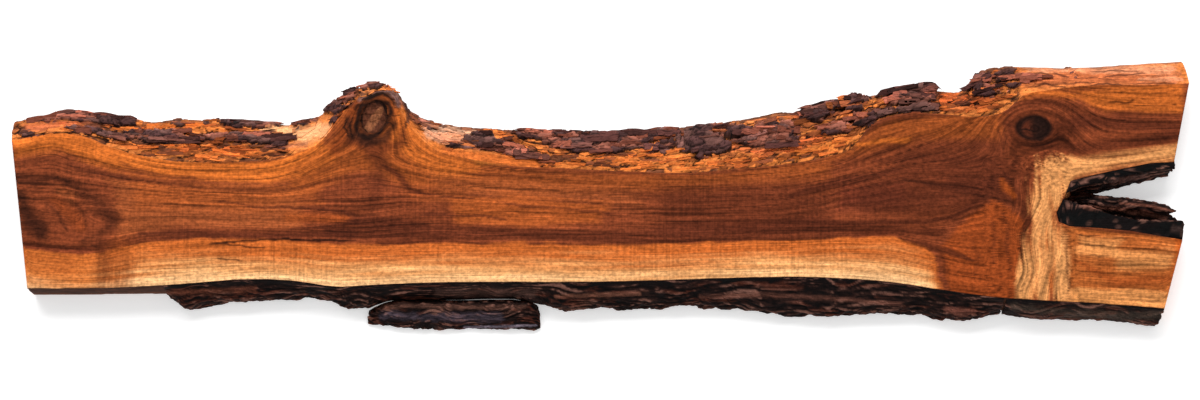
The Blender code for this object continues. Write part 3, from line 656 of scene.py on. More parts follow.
# Patches of the figure as colour, strength, softness and outline. The heart's are laid before the sapwood.
HEART_PATCHES = (
    (heart_light, 0.8, 16, ((110, 178), (190, 186), (300, 186), (300, 226), (190, 226), (122, 236),
        (118, 200))),
    (gold, 0.9, 10, ((10, 138), (60, 128), (100, 138), (170, 152), (215, 158), (275, 158), (300, 150),
        (322, 140), (338, 160), (300, 176), (270, 182), (215, 180), (160, 176), (110, 168), (80, 158),
        (58, 150), (10, 158))),
    (rust, 0.75, 14, ((290, 170), (320, 150), (338, 120), (345, 80), (405, 80), (412, 125), (440, 150),
        (470, 160), (470, 184), (420, 186), (395, 180), (360, 170), (320, 186), (290, 190))),
    (gold, 0.6, 10, ((396, 110), (412, 118), (440, 146), (478, 156), (478, 176), (440, 176), (410, 160),
        (392, 140))),
    (olive_gold, 0.8, 6, ((470, 158), (505, 160), (505, 165), (475, 167))),
    (rust, 0.6, 16, ((470, 164), (600, 172), (720, 172), (830, 160), (830, 176), (700, 190), (560, 194),
        (470, 190))),
    (heart_light, 0.5, 16, ((430, 176), (540, 186), (640, 190), (640, 206), (540, 204), (440, 196))),
    (heart_orange, 0.9, 10, ((450, 196), (530, 198), (610, 204), (600, 222), (520, 226), (456, 222))),
    (heart_orange, 0.65, 16, ((130, 176), (240, 190), (320, 182), (320, 202), (240, 208), (140, 206))),
    (heart_orange, 0.4, 16, ((390, 176), (470, 186), (470, 202), (420, 204))),
    (heart_dark, 0.55, 22, ((660, 186), (800, 184), (840, 200), (830, 236), (660, 240))),
)
PATCHES = (
    (red_brown, 0.8, 16, ((842, 186), (905, 186), (905, 206), (842, 206))),
    (gold, 0.75, 10, ((985, 78), (1080, 92), (1188, 74), (1190, 112), (1110, 110), (1085, 98), (1040, 94),
        (1000, 104), (975, 112))),
    (rust, 0.7, 12, ((896, 118), (960, 112), (1000, 100), (1010, 116), (1000, 140), (930, 140), (870, 152),
        (830, 160), (840, 150))),
    (heart_dark, 0.5, 16, ((900, 146), (1000, 136), (1010, 150), (1000, 172), (900, 176))),
    (limb_tan, 0.95, 8, ((1062, 224), (1190, 236), (1190, 320), (1058, 310))),
    (limb_light, 0.8, 10, ((1080, 238), (1118, 240), (1114, 257), (1076, 255))),
    (limb_light, 0.8, 10, ((1112, 250), (1170, 253), (1166, 268), (1114, 270))),
    (limb_light, 0.95, 6, ((1066, 287), (1168, 293), (1160, 310), (1060, 308))),
    (heart_dark, 0.55, 18, ((862, 176), (940, 166), (1010, 156), (1030, 174), (1014, 200), (960, 216),
        (862, 216))),
    (crotch_red, 0.95, 6, ((996, 201), (1012, 209), (1026, 222), (1022, 262), (1014, 300), (948, 296),
        (944, 276), (938, 250), (958, 228), (980, 209))),
)
# Streaks of the figure as colour, strength, softness, and a line with half widths
HEART_STREAKS = (
    (heart_dark, 0.75, 0.8, ((330, 232, 9), (410, 233, 11), (500, 234, 11), (600, 236, 9), (700, 232, 14),
        (800, 226, 12), (900, 230, 8))),
    (heart_dark, 0.8, 0.8, ((140, 233, 3), (200, 234, 6), (262, 237, 6), (352, 233, 6))),
)
STREAKS = (
    (swirl_dark, 0.75, 0.95, ((16, 178, 6), (36, 180, 8), (56, 178, 5), (66, 181, 4))),
    (swirl_dark, 0.62, 1.0, ((66, 180, 6), (80, 190, 11), (98, 203, 12), (112, 214, 12), (116, 226, 9))),
    (swirl_dark, 0.55, 1.0, ((112, 226, 8), (98, 238, 6), (86, 240, 4))),
    (swirl_dark, 0.9, 0.9, ((20, 196, 10), (28, 216, 16), (44, 232, 12))),
    (crotch_red, 0.5, 0.9, ((56, 200, 8), (70, 212, 12), (84, 226, 8))),
    (swirl_dark, 0.5, 0.8, ((56, 188, 1.5), (72, 200, 2.5), (84, 214, 2), (88, 228, 1.5))),
    (swirl_dark, 0.5, 0.8, ((48, 204, 1.5), (60, 216, 2.5), (70, 230, 1.5))),
    (heart_light, 0.5, 0.9, ((60, 190, 6), (72, 196, 8))),
    (heart_dark, 0.6, 0.6, ((67, 163, 1.5), (79, 169, 2), (112, 176, 2), (167, 183, 1.5),
        (202, 188, 1.0))),
    (heart_dark, 0.5, 0.6, ((114, 160, 1), (133, 169, 1.5), (171, 176, 1.5), (214, 180, 1))),
    (heart_dark, 0.7, 0.6, ((221, 201, 1.5), (248, 207, 2), (300, 208, 2), (330, 210, 2), (357, 215, 2))),
    (heart_dark, 0.8, 0.6, ((290, 229, 1.5), (333, 226, 2), (359, 222, 3))),
    (flame, 0.45, 0.9, ((290, 217, 9), (330, 218, 6), (352, 218, 2))),
    (heart_dark, 0.75, 0.8, ((352, 220, 4), (372, 221, 10), (400, 224, 9), (425, 226, 6))),
    (heart_dark, 0.6, 0.95, ((352, 134, 8), (372, 145, 13), (380, 160, 14), (378, 180, 14),
        (374, 200, 12))),
    (crotch_dark, 0.9, 0.7, ((382, 164, 2), (392, 170, 4), (402, 180, 5), (412, 190, 3), (428, 196, 2))),
    (heart_dark, 0.8, 0.6, ((409, 193, 1.5), (445, 196, 1.5), (473, 199, 1.2))),
    (heart_dark, 0.7, 0.6, ((500, 203, 1.2), (540, 207, 1.6), (576, 210, 1.6), (610, 213, 1.2))),
    (heart_dark, 0.7, 0.6, ((423, 214, 1.5), (485, 216, 2), (504, 219, 2))),
    (black_line, 0.95, 0.5, ((212, 243, 0.8), (245, 241, 1.3), (290, 239.5, 1.4), (345, 241, 1.2),
        (359, 241.5, 0.6))),
    (black_line, 0.8, 0.5, ((214, 243, 0.8), (240, 245, 1.1), (267, 246.5, 0.6))),
    (black_line, 0.85, 0.5, ((214, 258, 0.6), (232, 258.7, 1.0), (248, 259, 0.6))),
    (black_line, 0.6, 0.6, ((95, 245, 1.0), (129, 250, 1.0))),
    (limb_brown, 0.55, 0.7, ((120, 254, 22), (122, 276, 20))),
    (heart_dark, 0.5, 0.9, ((105, 246, 13), (106, 264, 12), (104, 288, 8))),
    (limb_brown, 0.4, 0.9, ((28, 256, 14), (70, 262, 16))),
    (red_brown, 0.6, 0.9, ((24, 246, 5), (60, 249, 5), (92, 251, 5))),
    (heart_dark, 0.8, 0.7, ((790, 196, 3), (830, 184, 5), (866, 177, 5), (900, 170, 4))),
    (heart_dark, 0.6, 0.7, ((800, 204, 2), (840, 192, 2), (880, 186, 2), (905, 184, 2))),
    (black_line, 0.7, 0.8, ((905, 180, 2), (935, 185, 3), (967, 191, 3), (990, 197, 3), (1012, 202, 3))),
    (heart_dark, 0.7, 0.7, ((780, 222, 2), (860, 222, 3), (922, 222, 3), (955, 215, 3), (977, 202, 3),
        (985, 198, 3))),
    (crotch_dark, 0.9, 0.7, ((860, 232, 5), (900, 232, 6), (925, 231, 7), (943, 231, 4))),
    (crotch_dark, 0.9, 0.6, ((900, 239, 2), (922, 245, 5), (947, 251, 5), (972, 261, 2))),
    (crotch_dark, 0.7, 0.7, ((940, 254, 4), (944, 268, 4), (944, 282, 2))),
    (crotch_dark, 0.9, 0.7, ((1020, 160, 5), (1008, 178, 6), (1016, 196, 7), (1026, 212, 6),
        (1024, 236, 5), (1018, 258, 3))),
    (crotch_dark, 0.8, 0.6, ((1032, 166, 3), (1026, 186, 4), (1032, 204, 3))),
    (crotch_dark, 0.7, 0.6, ((1002, 212, 1.5), (1008, 230, 2.5), (1004, 252, 2), (1010, 270, 1.5))),
    (crotch_dark, 0.6, 0.6, ((990, 222, 1.2), (996, 240, 2), (990, 262, 1.5))),
    (crotch_dark, 0.5, 0.7, ((972, 240, 1.2), (978, 256, 2), (974, 274, 1.5))),
    (heart_dark, 0.8, 0.9, ((955, 184, 12), (985, 184, 12), (1006, 176, 8))),
    (heart_dark, 0.6, 1.0, ((850, 206, 12), (905, 198, 16), (960, 194, 16), (1004, 190, 10))),
    (heart_dark, 0.5, 0.8, ((876, 160, 4), (930, 158, 6), (990, 160, 5))),
    (flame, 0.7, 0.9, ((1002, 178, 3), (1008, 188, 5), (1014, 196, 3))),
    (crotch_dark, 0.9, 0.9, ((1014, 124, 14), (1036, 128, 22), (1066, 126, 20), (1084, 126, 12))),
    (crotch_dark, 0.8, 0.8, ((1030, 104, 4), (1056, 101, 6), (1080, 110, 6), (1092, 122, 5))),
    (heart_dark, 0.8, 0.9, ((1080, 122, 12), (1120, 122, 12), (1180, 128, 10))),
    (heart_dark, 0.6, 0.9, ((1040, 146, 5), (1070, 148, 7), (1110, 144, 7), (1170, 138, 5))),
    (limb_brown, 0.85, 0.8, ((1070, 258, 3), (1093, 272, 5), (1113, 281, 6), (1173, 278, 7))),
    (limb_orange, 0.9, 0.9, ((1180, 240, 10), (1177, 300, 12))),
    (gold, 0.8, 0.7, ((858, 145, 2), (880, 141, 3), (912, 138, 2))),
)
# The pale crotch between the limbs, and the drying checks
CROTCH_PALE = ((1042, 158), (1068, 158), (1130, 150), (1185, 142), (1185, 159), (1120, 168), (1076, 178),
    (1066, 200), (1058, 214), (1064, 228), (1068, 302), (1012, 302), (1016, 272), (1021, 247), (1029, 215),
    (1036, 185))
CHECKS = (
    (crotch_dark, 0.6, 0.8, ((1066, 226, 1.6), (1064, 250, 2.0), (1066, 280, 2.0), (1064, 300, 1.6))),
    (black_line, 0.75, 0.5, ((1072, 233, 0.4), (1086, 236, 1.1), (1100, 235, 0.4))),
    (black_line, 0.7, 0.5, ((1078, 243, 0.4), (1092, 245, 1.0), (1104, 244, 0.4))),
    (black_line, 0.7, 0.5, ((1108, 236, 0.4), (1124, 239, 1.0), (1138, 238, 0.4))),
    (black_line, 0.6, 0.5, ((1128, 247, 0.4), (1142, 249, 0.9), (1156, 248, 0.4))),
    (black_line, 0.6, 0.5, ((1086, 254, 0.4), (1098, 256, 0.9), (1110, 255, 0.4))),
    (black_line, 0.7, 0.5, ((1108, 99, 0.4), (1128, 101, 1.0), (1150, 98, 0.4))),
    (black_line, 0.7, 0.5, ((1140, 104, 0.4), (1164, 105, 1.0), (1184, 102, 0.4))),
    (black_line, 0.6, 0.5, ((1092, 92, 0.4), (1118, 92, 0.9), (1140, 89, 0.4))),
    (black_line, 0.6, 0.5, ((1150, 92, 0.4), (1170, 92, 1.0), (1184, 90, 0.4))),
    (rust, 0.7, 0.8, ((1020, 92, 2), (1080, 86, 3), (1180, 80, 3))),
)
# The burl's callus, folds and cracks
BURL = (
    (dye(126, 60, 28), 0.9, 0.95, ((356, 102, 7), (346, 124, 10), (334, 148, 9))),
    (dye(104, 50, 28), 0.8, 0.95, ((350, 140, 8), (376, 150, 10), (402, 142, 8), (404, 120, 6))),
    (gold, 0.75, 0.8, ((400, 106, 4), (406, 122, 6), (420, 138, 6), (440, 148, 6))),
    (dye(58, 32, 24), 0.75, 0.9, ((346, 118, 5), (350, 134, 6), (366, 143, 6), (384, 138, 6),
        (394, 124, 5))),
    (dye(112, 80, 74), 0.9, 0.7, ((358, 99, 3), (366, 92, 4), (376, 87, 5), (386, 89, 6), (394, 96, 5),
        (397, 104, 4))),
    (dye(140, 100, 84), 0.7, 0.7, ((378, 84, 2), (390, 88, 2), (398, 96, 2))),
    (dye(20, 12, 11), 0.95, 0.6, ((360, 99, 1.2), (370, 95, 2.0), (380, 92, 1.8), (387, 97, 2.0),
        (392, 104, 1.4))),
    (dye(62, 34, 26), 0.9, 0.8, ((396, 88, 3), (403, 100, 4), (408, 114, 3.5), (406, 126, 2))),
    (dye(36, 20, 16), 0.95, 0.7, ((360, 105, 2.4), (374, 100, 2.6), (386, 103, 3), (389, 112, 3),
        (384, 123, 3), (376, 133, 3), (366, 138, 3), (358, 135, 3), (355, 125, 3), (357, 113, 2.6),
        (360, 105, 2.4))),
    (dye(20, 12, 11), 0.9, 0.7, ((345, 117, 1.0), (343, 127, 1.8), (347, 136, 1.0))),
    (dye(20, 12, 11), 0.9, 0.7, ((351, 116, 1.0), (349, 127, 1.6), (352, 136, 1.0))),
    (dye(20, 12, 11), 0.9, 0.7, ((358, 103, 1.0), (353, 110, 1.4))),
    (dye(20, 12, 11), 0.8, 0.6, ((390, 100, 0.8), (397, 97, 0.8))),
    (dye(20, 12, 11), 0.8, 0.6, ((392, 107, 0.8), (399, 107, 0.8))),
    (dye(20, 12, 11), 0.8, 0.6, ((391, 114, 0.8), (397, 116, 0.8))),
    (dye(20, 12, 11), 0.8, 0.6, ((387, 121, 0.8), (393, 125, 0.8))),
)
# Both knots as they are drawn, and the cracks in the limb's
BURL_MIDDLE, BURL_SPAN = (373, 118), (14, 19)
LIMB_MIDDLE, LIMB_SPAN = (1038, 128), (17.5, 12.5)
LIMB_CRACKS = (
    ((1042, 120, 5), (1048, 128, 7), (1043, 137, 5)),
    ((1023, 129, 0.6), (1030, 129, 1.2), (1037, 131, 1)),
)
# Rings round each knot: middle, stretch along and across, reach, and where on the grain's width they lie
KNOT_RINGS = (
    (1038, 128, 1.35, 1.0, 34, 0.30),
    (376, 118, 0.75, 1.15, 30, 0.05),
)
# The pith lies this far below the underside, and the figure on the sawn ends arches about it. Their
# fine streaks don't: they all read the grain at one place across, and the shading starts at one phase.
PITH_DEPTH = 0.07
END_ACROSS = 5 * 30**0.5
END_PHASE = 520 * 30**0.5
# The face's width on the drawing, in steps
WIDTH = 130


def stroked(colour, strokes, x, y, wander, share=1.0):
    """Colours with streaks laid over them, whose edges wander by a noise."""
    for shade, strength, soft, line in strokes:
        away = from_line(x, y, line) + wander
        colour = laid(colour, shade, share * strength * (1 - eased(1 - soft, 1.0 + 0.2 * soft, away)))
    return colour


def patched(colour, patches, x, y, streak):
    """Colours with patches laid over them, whose edges are drawn out along the grain."""
    for shade, strength, soft, outline in patches:
        within = from_outline(x, y, outline) + streak * soft * 0.5
        colour = laid(colour, shade, strength * eased(-soft / 2, soft / 2, within))
    return colour


def worked_figure(points, seed):
    """The colour of the wood at each point, and its grain as a place along and across it."""
    pith = np.where(points[:, 0] < 0, -0.005, np.where(points[:, 1] > 0.0, 0.105, -0.155))
    reach = (points[:, 1] - pith) ** 2 + (PITH_DEPTH + points[:, 2]) ** 2
    arched = np.sqrt((reach - (PITH_DEPTH + THICKNESS) ** 2).clip(0)) * np.sign(points[:, 1] - pith) + pith
    sawn = eased(0.84, 0.89, np.abs(points[:, 0])) * (points[:, 2] < THICKNESS - 1e-6)
    flat = np.stack([points[:, 0], points[:, 1] * (1 - sawn) + arched * sawn, points[:, 2] * 0], axis=1)
    px, py = seen_places(flat + (0, 0, THICKNESS))
    bend = lumps(flat, (9, 9, 1), seed + 5, 2) * 3.0
    swirl = np.exp(-(((px - 72) / 52) ** 2 + ((py - 207) / 34) ** 2))
    bend = bend + swirl * (14 * lumps(flat, (17, 26, 1), seed + 8, 3) + 9)
    shares = [0.0, *(share for share, _ in GRAIN), 1.0]
    heights = [line_at(px, line) for line in (UPPER_RIM, *(line for _, line in GRAIN), LOWER_RIM)]
    across = np.where(py < heights[0], 0.0 - (heights[0] - py) / WIDTH, 1.0 + (py - heights[-1]) / WIDTH)
    for low, high, low_share, high_share in zip(heights, heights[1:], shares, shares[1:]):
        share = (py - low) / np.maximum(high - low, 1.0)
        across = np.where((py >= low) & (py < high), low_share + share * (high_share - low_share), across)
    across = across + bend / WIDTH * 0.35
    rings = np.zeros(len(px))
    for cx, cy, wide, tall, span, middle in KNOT_RINGS:
        away = np.hypot((px - cx) / wide, (py - cy) / tall)
        weight = np.exp(-((away / span) ** 2) * 1.4)
        across = across * (1 - weight) + (middle + away / 110) * weight
        rings = np.maximum(rings, weight)
    upright = eased(985, 1012, px) * (1 - eased(1060, 1074, px)) * eased(152, 178, py + 6 * bend)
    across = across * (1 - upright) + (0.5 + (px + 5 * bend) / 150 + 0.12 * across) * upright
    across = across * (1 - sawn) + END_ACROSS * sawn
    along = points[:, 0] * (1 - upright) + points[:, 1] * upright
    streaky = np.stack([along * 5, across * 26, px * 0], axis=1)
    streak = lumps(streaky, (1, 1, 1), seed, 3)
    fine = lumps(streaky, (2.2, 2.6, 1), seed + 1, 2)
    wx = px + lumps(flat, (40, 40, 1), seed + 2, 2) * 2.5
    wy = py + lumps(flat, (40, 60, 1), seed + 3, 2) * 1.6 + streak * 1.5

    # The underside is calmer than the face. The sapwood lies below the heart's edge.
    calm = np.where(points[:, 2] < 1e-5, 0.3, 1.0)
    colour = patched(np.tile(heart, (len(px), 1)), HEART_PATCHES, wx, wy, streak)
    colour = stroked(colour, HEART_STREAKS, wx, wy, streak * 0.45)
    below = wy - line_at(wx, HEART_EDGE)
    sap = eased(-1.2, 1.8, below + streak) * (1 - eased(930, 948, wx + streak * 4))
    for shade, weight in (
        (sap_orange, sap),
        (sap_pale, sap * eased(6, 38, below + streak * 9)),
        (sap_left, sap * (1 - eased(60, 200, px + streak * 60)) * 0.75),
        (sap_white, 0.75 * sap * eased(24, 44, below + streak * 6)),
    ):
        colour = laid(colour, shade, weight)
    colour = patched(colour, PATCHES, wx, wy, streak)
    colour = stroked(colour, STREAKS, wx, wy, streak * 0.35, calm)
    columns = drawn_out(px, py, (0.16, 0.022), seed + 6, 3)
    beside = 1 - eased(1062, 1084, px)
    pale = eased(-4, 8, from_outline(wx, wy, CROTCH_PALE) + columns * 9 * beside + streak * 4)
    ripple = eased(-0.80, 0.15, columns * beside + streak * (1 - beside) + 0.2 * (1 - beside))
    colour = laid(laid(colour, limb_tan, 0.8 * pale), crotch_pale, pale * ripple)
    colour = stroked(colour, CHECKS, wx, wy, streak * 0.3)

    # The limb's knot has waves of dark grain round it, a dark core and cracks.
    halo = np.hypot((px - LIMB_MIDDLE[0]) / LIMB_SPAN[0], (py - LIMB_MIDDLE[1]) / LIMB_SPAN[1])
    halo = halo + fine * 0.12 + bend * 0.05
    wave = (0.5 + 0.5 * np.sin(halo * 19)) * eased(1.0, 1.2, halo) * (1 - eased(1.6, 3.4, halo))
    colour = laid(colour, crotch_dark, calm * 0.75 * wave)
    colour = laid(colour, knot_black, calm * 0.96 * (1 - eased(0.95, 1.2, halo)))
    red = (1 - eased(0.62, 0.85, halo + streak * 0.2)) * (1 - eased(1029, 1038, px))
    colour = laid(colour, knot_red, calm * 0.85 * red)
    for line in LIMB_CRACKS:
        colour = laid(colour, knot_black, calm * 0.9 * (1 - eased(0.5, 1.1, from_line(px, py, line))))
    colour = colour * (1 + 0.17 * sawn * np.sin(END_PHASE + 2.0 * fine))[:, None]
    vigour = (0.50 + 0.25 * rings) * (1 - sap) + 0.20 * sap
    colour = colour * (1 + vigour * streak + 0.6 * vigour * fine)[:, None]

    # The burl's knot has a dark callus round it, deeper on its left.
    left = (px - BURL_MIDDLE[0]) / BURL_SPAN[0]
    callus = np.hypot(left, (py - BURL_MIDDLE[1]) / BURL_SPAN[1]) + 0.16 * fine
    dark = (1 - eased(1.15, 1.62, callus)) * (0.35 + 0.45 * eased(0.9, -0.7, left))
    colour = laid(colour, knot_black, calm * dark)
    colour = stroked(colour, BURL, wx, wy, fine * 0.3, calm)
    dark_lines = eased(0.20, 0.55, lumps(streaky, (0.8, 2.1, 1), seed + 9, 2)) * (1 - 0.75 * sap)
    colour = colour * (1 - 0.58 * dark_lines)[:, None] * (0.92, 0.81, 0.64)
    return colour.clip(0.002, 1.0), np.stack([along, across * 0.21, rings], axis=1)


# The face's own rim, read from the solid, bounds the grain above and below
rim_px, rim_py = seen_places(np.array([v.co[:] for v in mesh.vertices if v.co.z > THICKNESS - 1e-6]))
UPPER_RIM, LOWER_RIM = [], []
for column in np.arange(16, 1188, 4.0):
    near_column = np.abs(rim_px - column) < 5
    if near_column.any():
        UPPER_RIM.append((column, rim_py[near_column].min()))
        LOWER_RIM.append((column, rim_py[near_column].max()))
edge_px, edge_py = seen_places(points)
SKYLINE = [(column, edge_py[np.abs(edge_px - column) < 6].min()) for column in np.arange(24, 1184, 8.0)]


def paint(mesh, name, colours):
    """Keeps a colour for each vertex under a name that the finish reads."""
    layer = mesh.color_attributes.new(name=name, type="FLOAT_COLOR", domain="POINT")
    layer.data.foreach_set("color", np.concatenate([colours, np.ones((len(colours), 1))], axis=1).ravel())


def note(mesh, name, vectors):
    """Keeps three numbers for each vertex under a name that the finish reads."""
    layer = mesh.attributes.new(name=name, type="FLOAT_VECTOR", domain="POINT")
    layer.data.foreach_set("vector", vectors.ravel())


figure, grain = worked_figure(points, 11)
paint(mesh, "figure", figure)
note(mesh, "grain", grain)

# The natural edge is bare wood, stained where it shows, with the flakes' painted light and shade there, and
# darker and older towards the underside
bare = np.tile(dye(60, 36, 27), (len(points), 1)) * (1 + 0.5 * lumps(points, (30, 200, 200), 31, 3))[:, None]
shown = (edge_py < line_at(edge_px, UPPER_RIM) + 8) & (points[:, 2] > 0.0)
chip_tone = np.tile(dye(150, 90, 50), (len(points), 1))
chip_share = np.zeros(len(points))
bare[shown], _, _, chip_tone[shown], chip_share[shown] = weathered(edge_px[shown], edge_py[shown])
# The bare wood under and between the hanging chips is painted darker, as shade
bare[shown] *= (1 - 0.3 * chip_share[shown])[:, None]
low = 0.85 * (1 - eased(0.003, 0.024, points[:, 2] + 0.004 * lumps(points, (40, 90, 90), 33, 2)))
old_edge = dye(104, 62, 42) * (1 + 0.55 * lumps(points, (22, 260, 320), 34, 3))[:, None]
bare = laid(bare, old_edge, low)
chip_share *= eased(1.5, 4.0, line_at(edge_px, UPPER_RIM) - edge_py) * eased(26, 34, edge_px)
chip_share *= points[:, 2] > 0.014
bare = stroked(bare, BURL, edge_px, edge_py, 0.3 * lumps(points, (220, 220, 220), 36, 2))

# In the knot's hollow the branch has left a dark ring and a paler plug
KNOT_PLUG = ((364, 131, 3), (369, 126, 5), (375, 116, 5), (380, 108, 3))
knot_away = np.hypot((edge_px - BURL_MIDDLE[0]) / BURL_SPAN[0], (edge_py - BURL_MIDDLE[1]) / BURL_SPAN[1])
knot_grain = lumps(points, (300, 120, 200), 35, 3)
plug = 1 - eased(0.7, 1.1, from_line(edge_px, edge_py, KNOT_PLUG))
knot_wood = laid(np.tile(dye(84, 46, 31), (len(points), 1)), dye(122, 74, 48), plug)
knot_wood *= (1 + 0.5 * knot_grain)[:, None]
knot_wood = laid(knot_wood, dye(30, 17, 13), eased(0.72, 0.95, knot_away + 0.15 * knot_grain))
in_hollow = (knot_away < 1.25) & (points[:, 2] < THICKNESS - 1e-5)
bare[in_hollow] = knot_wood[in_hollow]
paint(mesh, "bare", bare.clip(0.002, 1.0))


def filled(tree, node, values):
    """Joins or sets a node's inputs, where a node stands for its first output."""
    for key, value in dict(values).items():
        if isinstance(value, bpy.types.Node):
            value = value.outputs[0]
        if isinstance(value, bpy.types.NodeSocket):
            tree.links.new(value, node.inputs[key])
        else:
            node.inputs[key].default_value = value


def adder(tree):
    """A function that adds a node to a tree with its settings and inputs."""
    def add(kind, values=(), **settings):
        node = tree.nodes.new(kind)
        for key, value in settings.items():
            setattr(node, key, value)
        filled(tree, node, values)
        return node

    return add


def new_material(name):
    """A material with its shader, and a function that adds a node to it."""
    material = bpy.data.materials.new(name)
    material.use_nodes = True
    tree = material.node_tree
    tree.nodes.clear()
    add = adder(tree)
    shader = add("ShaderNodeBsdfPrincipled")
    add("ShaderNodeOutputMaterial", {0: shader})
    return material, shader, add


def stretched_noise(add, source, stretch, detail=2.0, roughness=0.5):
    """Noise read on a stretched copy of the coordinates."""
    place = add("ShaderNodeMapping", {"Vector": source, "Scale": stretch})
    look = {"Vector": place, "Scale": 1.0, "Detail": detail, "Roughness": roughness}
    return add("ShaderNodeTexNoise", look)


def ranged(add, value, low, high, to_low, to_high):
    """A value moved from one range to another."""
    ends = {"From Min": low, "From Max": high, "To Min": to_low, "To Max": to_high}
    return add("ShaderNodeMapRange", {"Value": value, **ends})


def product(add, *values):
    """The product of several values."""
    result = values[0]
    for value in values[1:]:
        result = add("ShaderNodeMath", {0: result, 1: value}, operation="MULTIPLY")
    return result


def dressed(name, attribute, shade, rough, sheen, bump):
    """A finish whose shade function gives a factor for the laid colour, the height of the bump, and a noise
    for the roughness."""
    material, shader, add = new_material(name)
    colour = add("ShaderNodeAttribute", attribute_name=attribute)
    factor, height, rough = shade(add, add("ShaderNodeTexCoord").outputs["Object"], rough)
    filled(material.node_tree, shader, {
        "Base Color": add("ShaderNodeVectorMath", {0: colour, "Scale": factor}, operation="SCALE"),
        "Roughness": rough,
        "Specular IOR Level": sheen,
        "Normal": add("ShaderNodeBump", {"Strength": bump[0], "Distance": bump[1], "Height": height}),
    })
    return material


def worked_wood(sawn):
    """Wood with fine streaks along the grain, pores, and on a planed face the tracks of the plane."""
    def shade(add, place, rough):
        grain_place = add("ShaderNodeAttribute", attribute_name="grain").outputs["Vector"]
        streak = stretched_noise(add, grain_place, (9, 560, 3), 4, 0.62)
        hair = stretched_noise(add, grain_place, (34, 1900, 3), 2, 0.5)
        mottle = stretched_noise(add, place, (170, 230, 230), 4, 0.68)
        track = stretched_noise(add, place, (300, 14, 14), 2, 0.5)
        where = stretched_noise(add, place, (9, 7, 7), 1, 0.5)
        pores = ranged(add, stretched_noise(add, grain_place, (150, 3400, 3), 1, 0.4), 0.66, 0.74, 1.0, 0.78)
        tracked = add("ShaderNodeMath", {0: track, 1: 0.5}, operation="SUBTRACT")
        tracked = product(add, tracked, ranged(add, where, 0.42, 0.62, 0.2, 0.9))
        tracked = add("ShaderNodeMath", {0: tracked, 1: 1.0}, operation="ADD")
        factor = product(
            add,
            ranged(add, streak, 0.3, 0.7, 0.8 if sawn else 0.58, 1.40),
            ranged(add, hair, 0.3, 0.7, 0.84, 1.18),
            ranged(add, mottle, 0.36, 0.64, 0.70, 1.30),
            tracked,
            pores,
        )
        return factor, product(add, tracked, pores), ranged(add, mottle, 0.3, 0.7, rough - 0.06, rough + 0.08)

    return shade


for finish, attribute, rough, sawn in (
    ("oiled_walnut", "figure", 0.44, False),
    ("bare_sapwood_edge", "bare", 0.72, True),
    ("sawn_end_grain", "figure", 0.70, True),
    ("hollow_knot", "bare", 0.7, True),
):
    mesh.materials.append(dressed(finish, attribute, worked_wood(sawn), rough, 0.04, (0.25, 0.0006)))
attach(walnut_slab, "root")
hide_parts("slab_wood")

# Old bark still clings to the slab's upper natural edge and to its burl, held by its own fibres.
# Weather has cracked it into dark plates, purple brown to near black, and rusty where a flake has
# come off lately. Its cracks and the lower sides of its plates are darkened further by painted shade.


def ridged_bark(contrast):
    """Bark with fine fibres along the trunk."""
    def shade(add, place, rough):
        fibre = stretched_noise(add, place, (60, 520, 520), 4, 0.65)
        grit = stretched_noise(add, place, (420, 520, 520), 3, 0.6)
        factor = product(
            add,
            ranged(add, fibre, 0.3, 0.7, 1 - 0.55 * contrast, 1 + 0.6 * contrast),
            ranged(add, grit, 0.3, 0.7, 1 - 0.3 * contrast, 1 + 0.3 * contrast),
        )
        return factor, product(add, fibre, grit), rough

    return shade


# Bark nearer to the wood than this isn't seen, and it is free to change between these distances
HIDDEN = 0.0009
FREE = (0.0006, 0.006)


def fresh_bark(node, cuts):
    """A finely divided copy of a bark solid: its mesh, its points, and how far each is off the wood."""
    solid = joined_copy(node)
    near = {v: wood_tree.find_nearest(v.co)[3] for v in solid.verts}
    shown = {e for f in solid.faces if max(near[v] for v in f.verts) > HIDDEN for e in f.edges}
    bmesh.ops.subdivide_edges(solid, edges=list(shown), cuts=cuts, use_grid_fill=True)
    bmesh.ops.triangulate(solid, faces=solid.faces)
    solid.verts.index_update()
    solid.verts.ensure_lookup_table()
    points = np.array([v.co[:] for v in solid.verts])
    edges = np.array([[v.index for v in e.verts] for e in solid.edges])
    away = np.array([wood_tree.find_nearest(p)[3] for p in points.tolist()])
    points = smoothed(points, edges, 0.45 * eased(*FREE, away), 3)
    for vertex, place in zip(solid.verts, points):
        vertex.co = place
    solid.normal_update()
    return solid, points, away


FLOOR_GAP = 0.0004


def finished_bark(solid, points, tone, name, node, finish):
    """Moves the points to their places, and lays the tone and the finish on the piece."""
    points[:, 2] = points[:, 2].clip(FLOOR_GAP, THICKNESS)
    if node in UPPER_BARK:
        points = bulged(points)
    for vertex, place in zip(solid.verts, points):
        vertex.co = place
    made = bpy.data.meshes.new(name)
    solid.to_mesh(made)
    solid.free()
    made.shade_smooth()
    made.set_sharp_from_angle(angle=math.radians(40))
    paint(made, "tone", tone.clip(0.003, 1.0))
    made.materials.append(finish)
    piece = stand(name, made)
    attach(piece, "root")
    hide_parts(node)
    return made


def carrying(mesh, shares, tones, side=None):
    """The faces of a mesh that carry flakes, with the tone and share at each vertex."""
    corners = read(mesh.polygons, "vertices", 3, np.int64)
    kept = shares[corners].max(axis=1) > 0.05
    if side is not None:
        kept &= read(mesh.polygons, "material_index", kind=np.int64) == side
    used, corners = np.unique(corners[kept], return_inverse=True)
    return read(mesh.vertices, "co", 3)[used], corners.reshape(-1, 3), tones[used], shares[used]


clinging_bark = dressed("clinging_bark", "tone", ridged_bark(0.45), 0.66, 0.06, (0.6, 0.0016))
UPPER_BARK = [name for name in barks if "upper" in name and "fork" not in name or "burl" in name]
